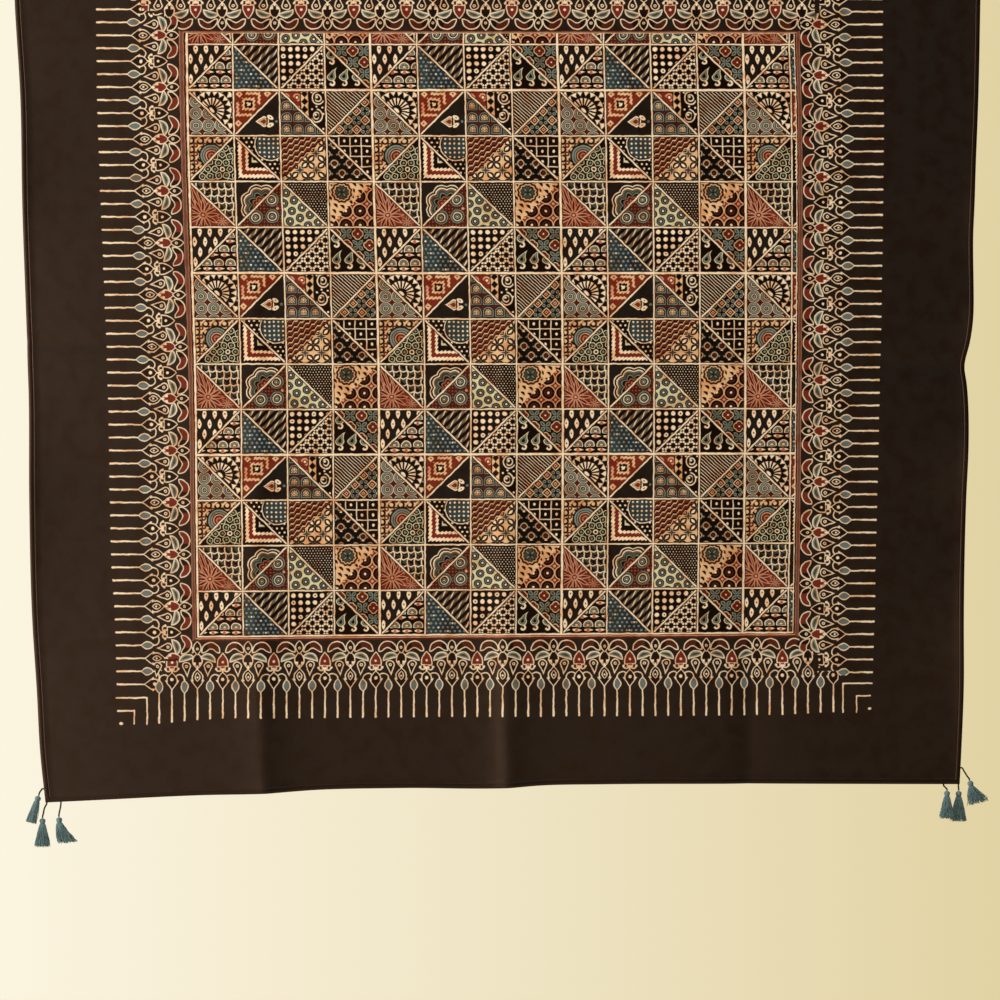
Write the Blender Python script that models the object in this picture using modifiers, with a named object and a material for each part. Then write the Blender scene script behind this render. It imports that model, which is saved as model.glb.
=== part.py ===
"""Ajrakh cloth: a square of block-printed cotton that hangs by its top edge, with corner tassels.

Metres, +Z up. The origin is the middle of the top edge, the printed face looks along -Y, and +X is
the right-hand side of that face. A height on the cloth is given as its drop below the top edge.
"""
import math
import random
from typing import NamedTuple

import bmesh
import bpy
import numpy as np

CLOTH_THICKNESS = 0.0012
HEM_THICKNESS = 0.0024
GAP = 0.0003
CORD_RADIUS = 0.0009

TASSEL_STEPS = 8
LOCK_INSET = 0.00012
LOCK_LENGTH_SPREAD = 0.0016
HEAD_LENGTH = 0.0066
SKIRT_ROOT_RADIUS = 0.0029
SKIRT_CORE_RADIUS = 0.0015
WAIST_FRACTION = 0.45
SKIRT_BELL = 0.85
SWAY_BEND = 1.5
TINY = 0.00001


class Edge(NamedTuple):
    """Where the two side edges hang, at one drop."""

    drop: float
    left: float
    right: float


class Hem(NamedTuple):
    """How far down the bottom hem hangs, at a share u of the width from the left edge."""

    u: float
    drop: float


class Crease(NamedTuple):
    """A pressed crease from top to bottom: a ridge stands forward, a valley back.

    Each flank has its own reach, the distance in which its height falls to about a third.
    """

    u: float
    forward: float
    left_reach: float
    right_reach: float


class Wave(NamedTuple):
    """A place where a side edge stands off, forward of the cloth beside it."""

    u: float
    drop: float
    half_height: float
    forward: float
    reach: float


EDGES = (
    Edge(0.000, -0.5070, 0.5050),
    Edge(0.152, -0.5040, 0.5030),
    Edge(0.257, -0.4977, 0.5008),
    Edge(0.385, -0.4951, 0.4956),
    Edge(0.509, -0.4909, 0.4920),
    Edge(0.535, -0.4901, 0.4867),
    Edge(0.552, -0.4894, 0.4888),
    Edge(0.674, -0.4878, 0.4878),
    Edge(0.807, -0.4847, 0.4847),
    Edge(0.873, -0.4805, 0.4852),
    Edge(0.940, -0.4768, 0.4831),
    Edge(0.989, -0.4716, 0.4806),
)

HEMS = (
    Hem(0.00, 0.9891),
    Hem(0.05, 0.9868),
    Hem(0.17, 0.9814),
    Hem(0.24, 0.9797),
    Hem(0.30, 0.9761),
    Hem(0.39, 0.9745),
    Hem(0.51, 0.9740),
    Hem(0.54, 0.9718),
    Hem(0.61, 0.9703),
    Hem(0.77, 0.9696),
    Hem(1.00, 0.9703),
)

CREASES = (
    Crease(0.243, 0.0064, 0.038, 0.019),
    Crease(0.507, 0.0058, 0.015, 0.023),
    Crease(0.768, -0.0054, 0.018, 0.055),
)
CREASE_START_DROP = 0.10
CREASE_FULL_DROP = 0.95

# The crease of the fold across the middle runs a little down to the right.
CROSS_CREASE_LEFT_DROP = 0.509
CROSS_CREASE_RIGHT_DROP = 0.535
CROSS_CREASE_FORWARD = -0.0022
CROSS_CREASE_REACH = 0.008

EDGE_WAVES = (
    Wave(1.0, 0.366, 0.034, 0.0040, 0.030),
    Wave(1.0, 0.486, 0.024, 0.0040, 0.026),
    Wave(1.0, 0.637, 0.044, 0.0065, 0.034),
    Wave(1.0, 0.810, 0.080, 0.0080, 0.038),
    Wave(0.0, 0.330, 0.070, 0.0030, 0.030),
    Wave(0.0, 0.690, 0.100, 0.0045, 0.036),
)

# A slow swell across the cloth, which is flat where the top edge is held.
SWELL_HEIGHT = 0.0030
SWELL_WAVES = 1.5
SWELL_PHASE = 0.6

WIDEST_COLUMN = 0.048
TALLEST_ROW = 0.104
SIDE_INSETS = (0.014, 0.036)
CREASE_OFFSETS = (0.007, 0.020, 0.044)
CROSS_OFFSETS = (0.008, 0.026)
# The rolled hem's section, as (inset from the edge, share of the hem's thickness).
HEM_SECTION = ((0.0, 0.80), (0.0016, 1.0), (0.0036, CLOTH_THICKNESS / HEM_THICKNESS))


class Tassel(NamedTuple):
    """One tassel on its cord. Out is away from the cloth's middle, forward is towards the viewer."""

    corner: str
    place: str
    root: str
    from_corner: float
    route: tuple
    lean: float
    length: float
    half_width: float
    half_depth: float
    sway: float


# A cord leaves the hem straight, takes these points from its root, each (out, forward, down), and
# enters its tassel's crown straight.
STRAIGHT = 0.0011
SIDE_LEFT_ROUTE = ((0.0032, 0.0018, 0.0021), (0.0042, 0.0032, 0.0040), (0.0046, 0.0040, 0.0058))
CORNER_LEFT_ROUTE = ((0.0012, 0.0003, 0.0034), (0.0026, 0.0008, 0.0068), (0.0034, 0.0010, 0.0112),
                     (0.0043, 0.0010, 0.0150))
HEM_LEFT_ROUTE = ((0.0003, 0.0004, 0.0044), (0.0010, 0.0009, 0.0086), (0.0018, 0.0011, 0.0124),
                  (0.0020, 0.0010, 0.0146))
SIDE_RIGHT_ROUTE = ((0.0034, 0.0026, 0.0034), (0.0058, 0.0060, 0.0078), (0.0080, 0.0088, 0.0115))
CORNER_RIGHT_ROUTE = ((0.0002, -0.0010, 0.0034), (0.0007, -0.0025, 0.0060))
HEM_RIGHT_ROUTE = ((0.0016, 0.0018, 0.0032), (0.0030, 0.0040, 0.0052))
SIDE_TOP_ROUTE = ((0.0044, 0, 0.0010), (0.0078, 0, 0.0036), (0.0098, 0, 0.0076), (0.0104, 0, 0.0114))
CORNER_TOP_ROUTE = ((0.0040, 0.0032, 0.0012), (0.0066, 0.0074, 0.0042), (0.0082, 0.0106, 0.0086),
                    (0.0086, 0.0118, 0.0130))
HEM_TOP_ROUTE = ((0.0004, 0.0044, 0.0012), (0.0008, 0.0074, 0.0042), (0.0010, 0.0086, 0.0086),
                 (0.0010, 0.0088, 0.0126))

TASSELS = (
    Tassel("bottom_left", "side", "side", 0.0140, SIDE_LEFT_ROUTE, 16.0, 0.0290, 0.0060, 0.0048, 0.0),
    Tassel("bottom_left", "corner", "hem", 0.0012, CORNER_LEFT_ROUTE, 0.0, 0.0300, 0.0092, 0.0060, 0.0),
    Tassel("bottom_left", "hem", "hem", 0.0170, HEM_LEFT_ROUTE, -4.0, 0.0275, 0.0110, 0.0060, -0.0070),
    Tassel("bottom_right", "side", "side", 0.0168, SIDE_RIGHT_ROUTE, 14.0, 0.0250, 0.0120, 0.0050, 0.0030),
    Tassel("bottom_right", "corner", "hem", 0.0010, CORNER_RIGHT_ROUTE, 0.0, 0.0320, 0.0090, 0.0050, 0.0),
    Tassel("bottom_right", "hem", "hem", 0.0175, HEM_RIGHT_ROUTE, 0.0, 0.0290, 0.0084, 0.0060, 0.0),
    Tassel("top_left", "side", "side", 0.0160, SIDE_TOP_ROUTE, 3.0, 0.0290, 0.0075, 0.0050, 0.0),
    Tassel("top_left", "corner", "side", 0.0020, CORNER_TOP_ROUTE, 0.0, 0.0300, 0.0080, 0.0050, 0.0),
    Tassel("top_left", "hem", "front", 0.0170, HEM_TOP_ROUTE, 0.0, 0.0290, 0.0080, 0.0050, 0.0),
    Tassel("top_right", "side", "side", 0.0160, SIDE_TOP_ROUTE, 3.0, 0.0290, 0.0075, 0.0050, 0.0),
    Tassel("top_right", "corner", "side", 0.0020, CORNER_TOP_ROUTE, 0.0, 0.0300, 0.0080, 0.0050, 0.0),
    Tassel("top_right", "hem", "front", 0.0170, HEM_TOP_ROUTE, 0.0, 0.0290, 0.0080, 0.0050, 0.0),
)

# The wound head, from the top of its crown down to the skirt's root: (radius, drop).
HEAD_PROFILE = (
    (0.0000, 0.0000),
    (0.0020, 0.0005),
    (0.0031, 0.0022),
    (0.0029, 0.0042),
    (0.0022, 0.0054),
    (SKIRT_ROOT_RADIUS, HEAD_LENGTH),
    (SKIRT_CORE_RADIUS, HEAD_LENGTH),
    (0.0000, HEAD_LENGTH),
)


def smooth_line(at, stops, values):
    """Cubic curve through a table's points, with each slope taken from the points beside it."""
    stops = np.asarray(stops, dtype=float)
    values = np.asarray(values, dtype=float)
    slopes = np.gradient(values, stops)
    at = np.clip(np.asarray(at, dtype=float), stops[0], stops[-1])
    row = np.clip(np.searchsorted(stops, at) - 1, 0, len(stops) - 2)
    width = stops[row + 1] - stops[row]
    t = (at - stops[row]) / width
    start = (1 + 2 * t) * (1 - t) ** 2 * values[row] + t * (1 - t) ** 2 * width * slopes[row]
    end = t ** 2 * (3 - 2 * t) * values[row + 1] + t ** 2 * (t - 1) * width * slopes[row + 1]
    return start + end


def side_x(u, drop):
    """World x of a point at a share u of the width, at a drop."""
    drops = [edge.drop for edge in EDGES]
    left = smooth_line(drop, drops, [edge.left for edge in EDGES])
    right = smooth_line(drop, drops, [edge.right for edge in EDGES])
    return left + (right - left) * u


def hem_drop(u):
    """Drop of the bottom hem at a share u of the width."""
    return smooth_line(u, [hem.u for hem in HEMS], [hem.drop for hem in HEMS])


def cross_crease_drop(u):
    """Drop of the crease across the middle at a share u of the width."""
    return CROSS_CREASE_LEFT_DROP + (CROSS_CREASE_RIGHT_DROP - CROSS_CREASE_LEFT_DROP) * u


def forward(u, drop):
    """How far the cloth stands forward: its creases, the fold across it, its edge waves and its swell."""
    t = np.clip((drop - CREASE_START_DROP) / (CREASE_FULL_DROP - CREASE_START_DROP), 0, 1)
    growth = t * t * (3 - 2 * t)
    out = growth * SWELL_HEIGHT * np.sin(2 * np.pi * SWELL_WAVES * u + SWELL_PHASE)
    for crease in CREASES:
        reach = np.where(u < crease.u, crease.left_reach, crease.right_reach)
        out = out + growth * crease.forward * np.exp(-np.abs(u - crease.u) / reach)
    across = np.abs(drop - cross_crease_drop(u))
    out = out + CROSS_CREASE_FORWARD * np.exp(-across / CROSS_CREASE_REACH)
    for wave in EDGE_WAVES:
        along = ((drop - wave.drop) / wave.half_height) ** 2
        out = out + wave.forward * np.exp(-along) * np.exp(-np.abs(u - wave.u) / wave.reach)
    return out


def on_cloth(u, drop):
    """The middle surface of the cloth as an (x, y, z) point."""
    return (float(side_x(u, drop)), -float(forward(u, drop)), -float(drop))


def filled(lines, widest):
    """The lines in order, with even ones added wherever two stand further apart than widest."""
    lines = sorted(lines)
    out = [lines[0]]
    for line in lines[1:]:
        parts = max(1, math.ceil((line - out[-1]) / widest - TINY))
        start = out[-1]
        for part in range(1, parts + 1):
            out.append(start + (line - start) * part / parts)
    return out


def column_lines():
    """Shares u of the width: the hem's lines at both edges, and lines on and beside each crease."""
    lines = [inset for inset, _ in HEM_SECTION] + [1 - inset for inset, _ in HEM_SECTION]
    for crease in CREASES:
        lines.append(crease.u)
        for offset in CREASE_OFFSETS:
            lines += [crease.u - offset, crease.u + offset]
    for inset in SIDE_INSETS:
        lines += [inset, 1 - inset]
    return filled(lines, WIDEST_COLUMN)


def row_lines():
    """Rows from 0 at the top to 1 at the cross crease, and on to 2 at the bottom hem."""
    lines = [1.0]
    for inset, _ in HEM_SECTION:
        lines += [2 * inset, 2 - 2 * inset]
    for offset in CROSS_OFFSETS:
        lines += [1 - 2 * offset, 1 + 2 * offset]
    return filled(lines, TALLEST_ROW)


def row_drop(row, u):
    """Drop of a point on a row, at a share u of the width."""
    middle = float(cross_crease_drop(u))
    if row <= 1:
        return row * middle
    return middle + (row - 1) * (float(hem_drop(u)) - middle)


def hem_weight(inset):
    """Share of the hem's thickness at a distance in from the nearest edge of the cloth."""
    insets = [line for line, _ in HEM_SECTION]
    shares = [share for _, share in HEM_SECTION]
    return float(np.interp(inset, insets, shares))


def finish(name, colour, roughness):
    """A dyed cotton material."""
    material = bpy.data.materials.new(name)
    material.use_nodes = True
    shader = material.node_tree.nodes["Principled BSDF"]
    shader.inputs["Base Color"].default_value = (*colour, 1.0)
    shader.inputs["Roughness"].default_value = roughness
    shader.inputs["Metallic"].default_value = 0.0
    return material


def place(thing, collection, material):
    """Give an object its material and put it in the part's collection."""
    thing.data.materials.append(material)
    collection.objects.link(thing)
    return thing


def make_cloth(collection, material):
    """The hung cloth: a grid laid on the folds, thickened both ways and thicker at its rolled hem."""
    columns = column_lines()
    rows = row_lines()
    bpy.ops.mesh.primitive_grid_add(x_subdivisions=len(columns) - 1, y_subdivisions=len(rows) - 1, size=1)
    cloth = bpy.context.object
    cloth.name = "cloth"
    cloth.data.name = "cloth"
    hem = cloth.vertex_groups.new(name="hem")
    for index, vertex in enumerate(cloth.data.vertices):
        u = columns[index % len(columns)]
        row = rows[len(rows) - 1 - index // len(columns)]
        vertex.co = on_cloth(u, row_drop(row, u))
        inset = min(u, 1 - u, row / 2, 1 - row / 2)
        hem.add([index], hem_weight(inset), "REPLACE")
    solid = cloth.modifiers.new("thickness", "SOLIDIFY")
    solid.thickness = HEM_THICKNESS
    solid.offset = 0
    solid.vertex_group = hem.name
    solid.thickness_vertex_group = 0.0
    for owner in cloth.users_collection:
        owner.objects.unlink(cloth)
    cloth.data.shade_smooth()
    return place(cloth, collection, material)


def outward(tassel):
    """-1 at the left corners and +1 at the right ones."""
    return -1 if tassel.corner.endswith("left") else 1


def cord_root(tassel):
    """Where a tassel's cord leaves the cloth, clear of the hem by the gap."""
    side = outward(tassel)
    edge_u = 0.0 if side < 0 else 1.0
    width = float(side_x(1, 0)) - float(side_x(0, 0))
    if tassel.root == "hem":
        u = edge_u - side * tassel.from_corner / width
        x, y, z = on_cloth(u, hem_drop(u))
        return (x, y, z - GAP)
    if tassel.root == "front":
        u = edge_u - side * tassel.from_corner / width
        x, y, z = on_cloth(u, 2 * CORD_RADIUS)
        return (x, y - HEM_THICKNESS / 2 - GAP, z)
    top = tassel.corner.startswith("top")
    drop = tassel.from_corner if top else float(hem_drop(edge_u)) - tassel.from_corner
    x, y, z = on_cloth(edge_u, drop)
    return (x + side * GAP, y, z)


def hang_direction(tassel):
    """Unit direction from a tassel's crown to its skirt."""
    lean = math.radians(tassel.lean)
    return np.array((outward(tassel) * math.sin(lean), 0, -math.cos(lean)))


def cord_points(tassel):
    """The cord's route in the world's directions, from its root to the crown of its tassel."""
    side = outward(tassel)
    leave = {"side": (side, 0, 0), "hem": (0, 0, -1), "front": (0, -1, 0)}[tassel.root]
    points = [np.zeros(3), STRAIGHT * np.array(leave)]
    points += [np.array((side * out, -ahead, -down)) for out, ahead, down in tassel.route]
    points.append(points[-1] + STRAIGHT * hang_direction(tassel))
    return points


def make_cord(tassel, collection, material):
    """The short cord that carries one tassel."""
    name = f"tassel_cord_{tassel.corner}_{tassel.place}"
    curve = bpy.data.curves.new(name, "CURVE")
    curve.dimensions = "3D"
    curve.bevel_depth = CORD_RADIUS
    curve.bevel_resolution = 2
    curve.use_fill_caps = True
    points = cord_points(tassel)
    spline = curve.splines.new("POLY")
    spline.points.add(len(points) - 1)
    for knot, point in zip(spline.points, points):
        knot.co = (*point, 1.0)
    cord = bpy.data.objects.new(name, curve)
    cord.location = cord_root(tassel)
    return place(cord, collection, material)


def turned_head(name):
    """The wound head as a mesh: a profile turned about its axis, crown at the origin."""
    mesh = bpy.data.meshes.new(name)
    points = [(radius, 0, -drop) for radius, drop in HEAD_PROFILE]
    mesh.from_pydata(points, [(i, i + 1) for i in range(len(points) - 1)], [])
    blank = bpy.data.objects.new(name, mesh)
    bpy.context.scene.collection.objects.link(blank)
    turn = blank.modifiers.new("turn", "SCREW")
    turn.axis = "Z"
    turn.steps = TASSEL_STEPS
    turn.render_steps = TASSEL_STEPS
    turn.use_merge_vertices = True
    turn.merge_threshold = TINY
    turned = bpy.data.meshes.new_from_object(blank.evaluated_get(bpy.context.evaluated_depsgraph_get()))
    bpy.data.objects.remove(blank)
    return turned


def skirt_point(point, tassel, side, below):
    """Spread a root point to its place in the skirt, at a share below of the skirt's length."""
    share = below ** SKIRT_BELL
    wide = 1 + (tassel.half_width / SKIRT_ROOT_RADIUS - 1) * share
    deep = 1 + (tassel.half_depth / SKIRT_ROOT_RADIUS - 1) * share
    sway = side * tassel.sway * below ** SWAY_BEND
    skirt = tassel.length - HEAD_LENGTH
    return (point.x * wide + sway, point.y * deep, -HEAD_LENGTH - skirt * below)


def grow_locks(body, tassel, seed):
    """Each face of the head's underside becomes a lock of threads, drawn down and spread."""
    draw = random.Random(seed)
    side = outward(tassel)
    roots = [face for face in body.faces if all(vert.co.z < TINY - HEAD_LENGTH for vert in face.verts)]
    bmesh.ops.inset_individual(body, faces=roots, thickness=LOCK_INSET, use_even_offset=True)
    for root in roots:
        outline = [vert.co.copy() for vert in root.verts]
        reach = 1 - draw.uniform(0, LOCK_LENGTH_SPREAD) / (tassel.length - HEAD_LENGTH)
        lock = root
        for below in (WAIST_FRACTION * reach, reach):
            grown = bmesh.ops.extrude_discrete_faces(body, faces=[lock])
            lock = grown["faces"][0]
            for vert, point in zip(lock.verts, outline):
                vert.co = skirt_point(point, tassel, side, below)


def make_tassel(tassel, seed, collection, material):
    """A wound head with a skirt of locks, hung on the end of its cord."""
    name = f"tassel_{tassel.corner}_{tassel.place}"
    mesh = turned_head(name)
    body = bmesh.new()
    body.from_mesh(mesh)
    bmesh.ops.remove_doubles(body, verts=body.verts, dist=TINY)
    grow_locks(body, tassel, seed)
    body.to_mesh(mesh)
    body.free()
    hung = bpy.data.objects.new(name, mesh)
    hung.location = np.array(cord_root(tassel)) + cord_points(tassel)[-1] + GAP * hang_direction(tassel)
    hung.rotation_euler = (0, -outward(tassel) * math.radians(tassel.lean), 0)
    return place(hung, collection, material)


def main():
    """Make the cloth, then each cord with its tassel."""
    for thing in list(bpy.data.objects):
        bpy.data.objects.remove(thing)
    collection = bpy.data.collections.new("ajrakh_cloth")
    bpy.context.scene.collection.children.link(collection)
    dyed_ground = finish("brown_black_cotton", (0.035, 0.022, 0.016), 0.85)
    dark_cord = finish("dark_twisted_cord", (0.014, 0.010, 0.009), 0.8)
    teal_thread = finish("teal_cotton_thread", (0.11, 0.19, 0.19), 0.8)
    make_cloth(collection, dyed_ground)
    for seed, tassel in enumerate(TASSELS):
        make_cord(tassel, collection, dark_cord)
        make_tassel(tassel, seed, collection, teal_thread)


main()
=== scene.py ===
"""Looks of a hung ajrakh cloth: printed cotton, pressed folds, a rolled hem and thread tassels.

Metres, +Z up. The printed face looks along -Y. A height on the cloth is its drop below the top
edge. The printing blocks are drawn in their own units: a patch's cell is 1 wide and 1 high with y
down, and the border's block is 50.8 units to a repeat, with t counted outwards from the frame.
"""

import logging
import math
from dataclasses import dataclass
from enum import Enum, IntEnum
from typing import Callable, NamedTuple

import bpy
import numpy as np
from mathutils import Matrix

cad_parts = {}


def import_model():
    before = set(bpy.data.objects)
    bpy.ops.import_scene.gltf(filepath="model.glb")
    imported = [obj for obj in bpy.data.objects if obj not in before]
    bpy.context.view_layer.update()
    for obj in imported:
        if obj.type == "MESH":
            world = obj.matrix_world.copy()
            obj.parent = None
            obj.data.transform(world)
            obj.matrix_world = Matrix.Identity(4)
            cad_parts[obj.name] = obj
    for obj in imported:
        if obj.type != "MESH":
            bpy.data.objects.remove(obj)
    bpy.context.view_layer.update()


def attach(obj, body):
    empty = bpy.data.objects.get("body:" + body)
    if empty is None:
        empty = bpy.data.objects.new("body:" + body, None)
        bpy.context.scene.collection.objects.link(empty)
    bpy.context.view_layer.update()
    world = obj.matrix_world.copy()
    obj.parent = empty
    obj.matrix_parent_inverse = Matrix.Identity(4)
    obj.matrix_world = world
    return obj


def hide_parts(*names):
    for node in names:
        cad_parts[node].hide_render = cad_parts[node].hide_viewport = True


LOG = logging.getLogger("ajrakh_cloth")
TURN = 2 * math.pi
SLANT = math.sqrt(0.5)


class Dye(Enum):
    """The colours of the print, as sRGB hex values."""

    GROUND = "#181513"
    BLACK = "#0a0503"
    CREAM = "#e6d3b9"
    STRAW = "#c6c2a0"
    PEACH = "#d2ae86"
    PINK = "#c79074"
    BLUSH = "#a3634c"
    MADDER = "#66211a"
    RUST = "#6b2518"
    MAUVE = "#5e4238"
    OXBLOOD = "#451810"
    TAUPE = "#6f6353"
    SAGE = "#747f79"
    MOSS = "#363d31"
    SLATE = "#5a6a6c"
    TEAL = "#2b3d42"
    INDIGO = "#1b2732"
    PLUM = "#3c2f35"
    HEM = "#120c0a"


class Corner(Enum):
    """The cloth's four corners, as (side, end): -1 is left or top."""

    BOTTOM_LEFT = (-1, 1)
    BOTTOM_RIGHT = (1, 1)
    TOP_LEFT = (-1, -1)
    TOP_RIGHT = (1, -1)


def linear(colour: str) -> tuple[float, float, float, float]:
    """Turn an sRGB hex colour to linear RGBA.

    Args:
        colour: Six hex digits after a hash.

    Returns:
        Linear red, green and blue, with alpha 1.
    """
    parts = [int(colour[i:i + 2], 16) / 255 for i in (1, 3, 5)]
    red, green, blue = ((c / 12.92) if c <= 0.04045 else ((c + 0.055) / 1.055) ** 2.4 for c in parts)
    return (red, green, blue, 1.0)


def add_node(tree: bpy.types.NodeTree, kind: str, settings: dict, inputs: dict) -> bpy.types.Node:
    """Add one node with its settings, its values and its links.

    Args:
        tree: The node tree.
        kind: The node's Blender type.
        settings: Attribute names with their values.
        inputs: Input names or numbers, each with a value or with the socket that feeds it.

    Returns:
        The new node.
    """
    node = tree.nodes.new(kind)
    for name, value in settings.items():
        setattr(node, name, value)
    for socket, value in inputs.items():
        if isinstance(value, bpy.types.NodeSocket):
            tree.links.new(value, node.inputs[socket])
        else:
            node.inputs[socket].default_value = value
    return node


@dataclass(frozen=True)
class Field:
    """A number that varies over a surface: a node's output, with plain arithmetic on it."""

    tree: bpy.types.NodeTree
    socket: bpy.types.NodeSocket

    def math(self, operation: str, *others: object, clamp: bool = False) -> "Field":
        """Feed this number and others to one Math operation.

        Args:
            operation: The Math node's operation.
            others: Further fields or plain numbers.
            clamp: Whether the result is kept within 0 and 1.

        Returns:
            The result.
        """
        feeds = {0: self.socket}
        for place, other in enumerate(others, start=1):
            feeds[place] = other.socket if isinstance(other, Field) else other
        node = add_node(self.tree, "ShaderNodeMath", {"operation": operation, "use_clamp": clamp}, feeds)
        return Field(self.tree, node.outputs[0])

    def __add__(self, other: object) -> "Field":
        """This number plus another."""
        return self.math("ADD", other)

    def __sub__(self, other: object) -> "Field":
        """This number less another."""
        return self.math("SUBTRACT", other)

    def __mul__(self, other: object) -> "Field":
        """This number times another."""
        return self.math("MULTIPLY", other)

    def __truediv__(self, other: object) -> "Field":
        """This number over another."""
        return self.math("DIVIDE", other)

    def __abs__(self) -> "Field":
        """This number without its sign."""
        return self.math("ABSOLUTE")

    def wrapped(self, period: float) -> "Field":
        """This number brought by whole periods to within half a period of 0."""
        return self.math("WRAP", period / 2, -period / 2)

    def least(self, other: object) -> "Field":
        """The smaller of two numbers: the union of two shapes, or the overlap of two masks."""
        return self.math("MINIMUM", other)

    def most(self, other: object) -> "Field":
        """The larger of two numbers: the overlap of two shapes, or the union of two masks."""
        return self.math("MAXIMUM", other)

    def below(self, edge: float, soft: float) -> "Field":
        """A mask that is 1 where this number is under an edge, and fades over a soft width."""
        return self.math("MULTIPLY_ADD", -1 / soft, 0.5 + edge / soft, clamp=True)

    def above(self, edge: float, soft: float) -> "Field":
        """A mask that is 1 where this number is over an edge, and fades over a soft width."""
        return self.math("MULTIPLY_ADD", 1 / soft, 0.5 - edge / soft, clamp=True)


def length(x: Field, y: Field) -> Field:
    """Distance from the origin.

    Args:
        x: Across.
        y: Along.

    Returns:
        The root of x squared plus y squared.
    """
    return x.math("MULTIPLY_ADD", x, y * y).math("SQRT")


def spindle(x: Field, y: Field, half_width: float, half_length: float) -> Field:
    """A leaf pointed at both ends, upright: x over its half width plus y over its half length squared.

    Args:
        x: Across, from its middle.
        y: Along, from its middle.
        half_width: Half of its width.
        half_length: Half of its length.

    Returns:
        Under 0 inside, and about the distance from the outline near it.
    """
    bend = y / half_length
    return (abs(x) / half_width + bend * bend - 1) * half_width


def tear(x: Field, y: Field, head: float, tail: float) -> Field:
    """A drop: a round head at the origin whose width falls evenly to a point at y = tail.

    Args:
        x: Across.
        y: Along, towards the point.
        head: The head's radius.
        tail: How far the point stands from the head's middle.

    Returns:
        Under 0 inside.
    """
    lobe = length(x, y.math("MINIMUM", 0.0))
    return y.math("MAXIMUM", 0.0).math("MULTIPLY_ADD", head / tail, lobe) - head


class Painter:
    """Colours laid one over another, as printing blocks lay them."""

    def __init__(self, tree: bpy.types.NodeTree, ground: Dye, soft: float) -> None:
        """Start from a plain ground.

        Args:
            tree: The material's nodes.
            ground: The colour under all others.
            soft: Width over which an edge bleeds, in the block's units.
        """
        self.tree = tree
        self.soft = soft
        self.colour = linear(ground.value)

    def lay(self, mask: Field, dye: Dye) -> None:
        """Print a colour where a mask is 1.

        Args:
            mask: From 0 to 1.
            dye: The colour.
        """
        feeds = {"Factor": mask.socket, 6: self.colour, 7: linear(dye.value)}
        mix = add_node(self.tree, "ShaderNodeMix", {"data_type": "RGBA"}, feeds)
        self.colour = mix.outputs[2]

    def fill(self, shape: Field, dye: Dye, edge: float = 0.0) -> None:
        """Print a colour where a shape's number is under an edge.

        Args:
            shape: A distance, or a shape's number.
            dye: The colour.
            edge: Where the colour ends.
        """
        self.lay(shape.below(edge, self.soft), dye)

    def line(self, shape: Field, dye: Dye, width: float, edge: float = 0.0) -> None:
        """Print a line of a given width where a shape's number crosses an edge.

        Args:
            shape: A distance, or a shape's number.
            dye: The colour.
            width: The line's width.
            edge: Where the line runs.
        """
        self.lay(abs(shape - edge).below(width / 2, self.soft), dye)

    def rings(self, distance: Field, bands: tuple) -> None:
        """Print discs one on another, the widest first.

        Args:
            distance: From their middle.
            bands: Each a (radius, dye).
        """
        for radius, dye in bands:
            self.fill(distance, dye, radius)


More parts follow.
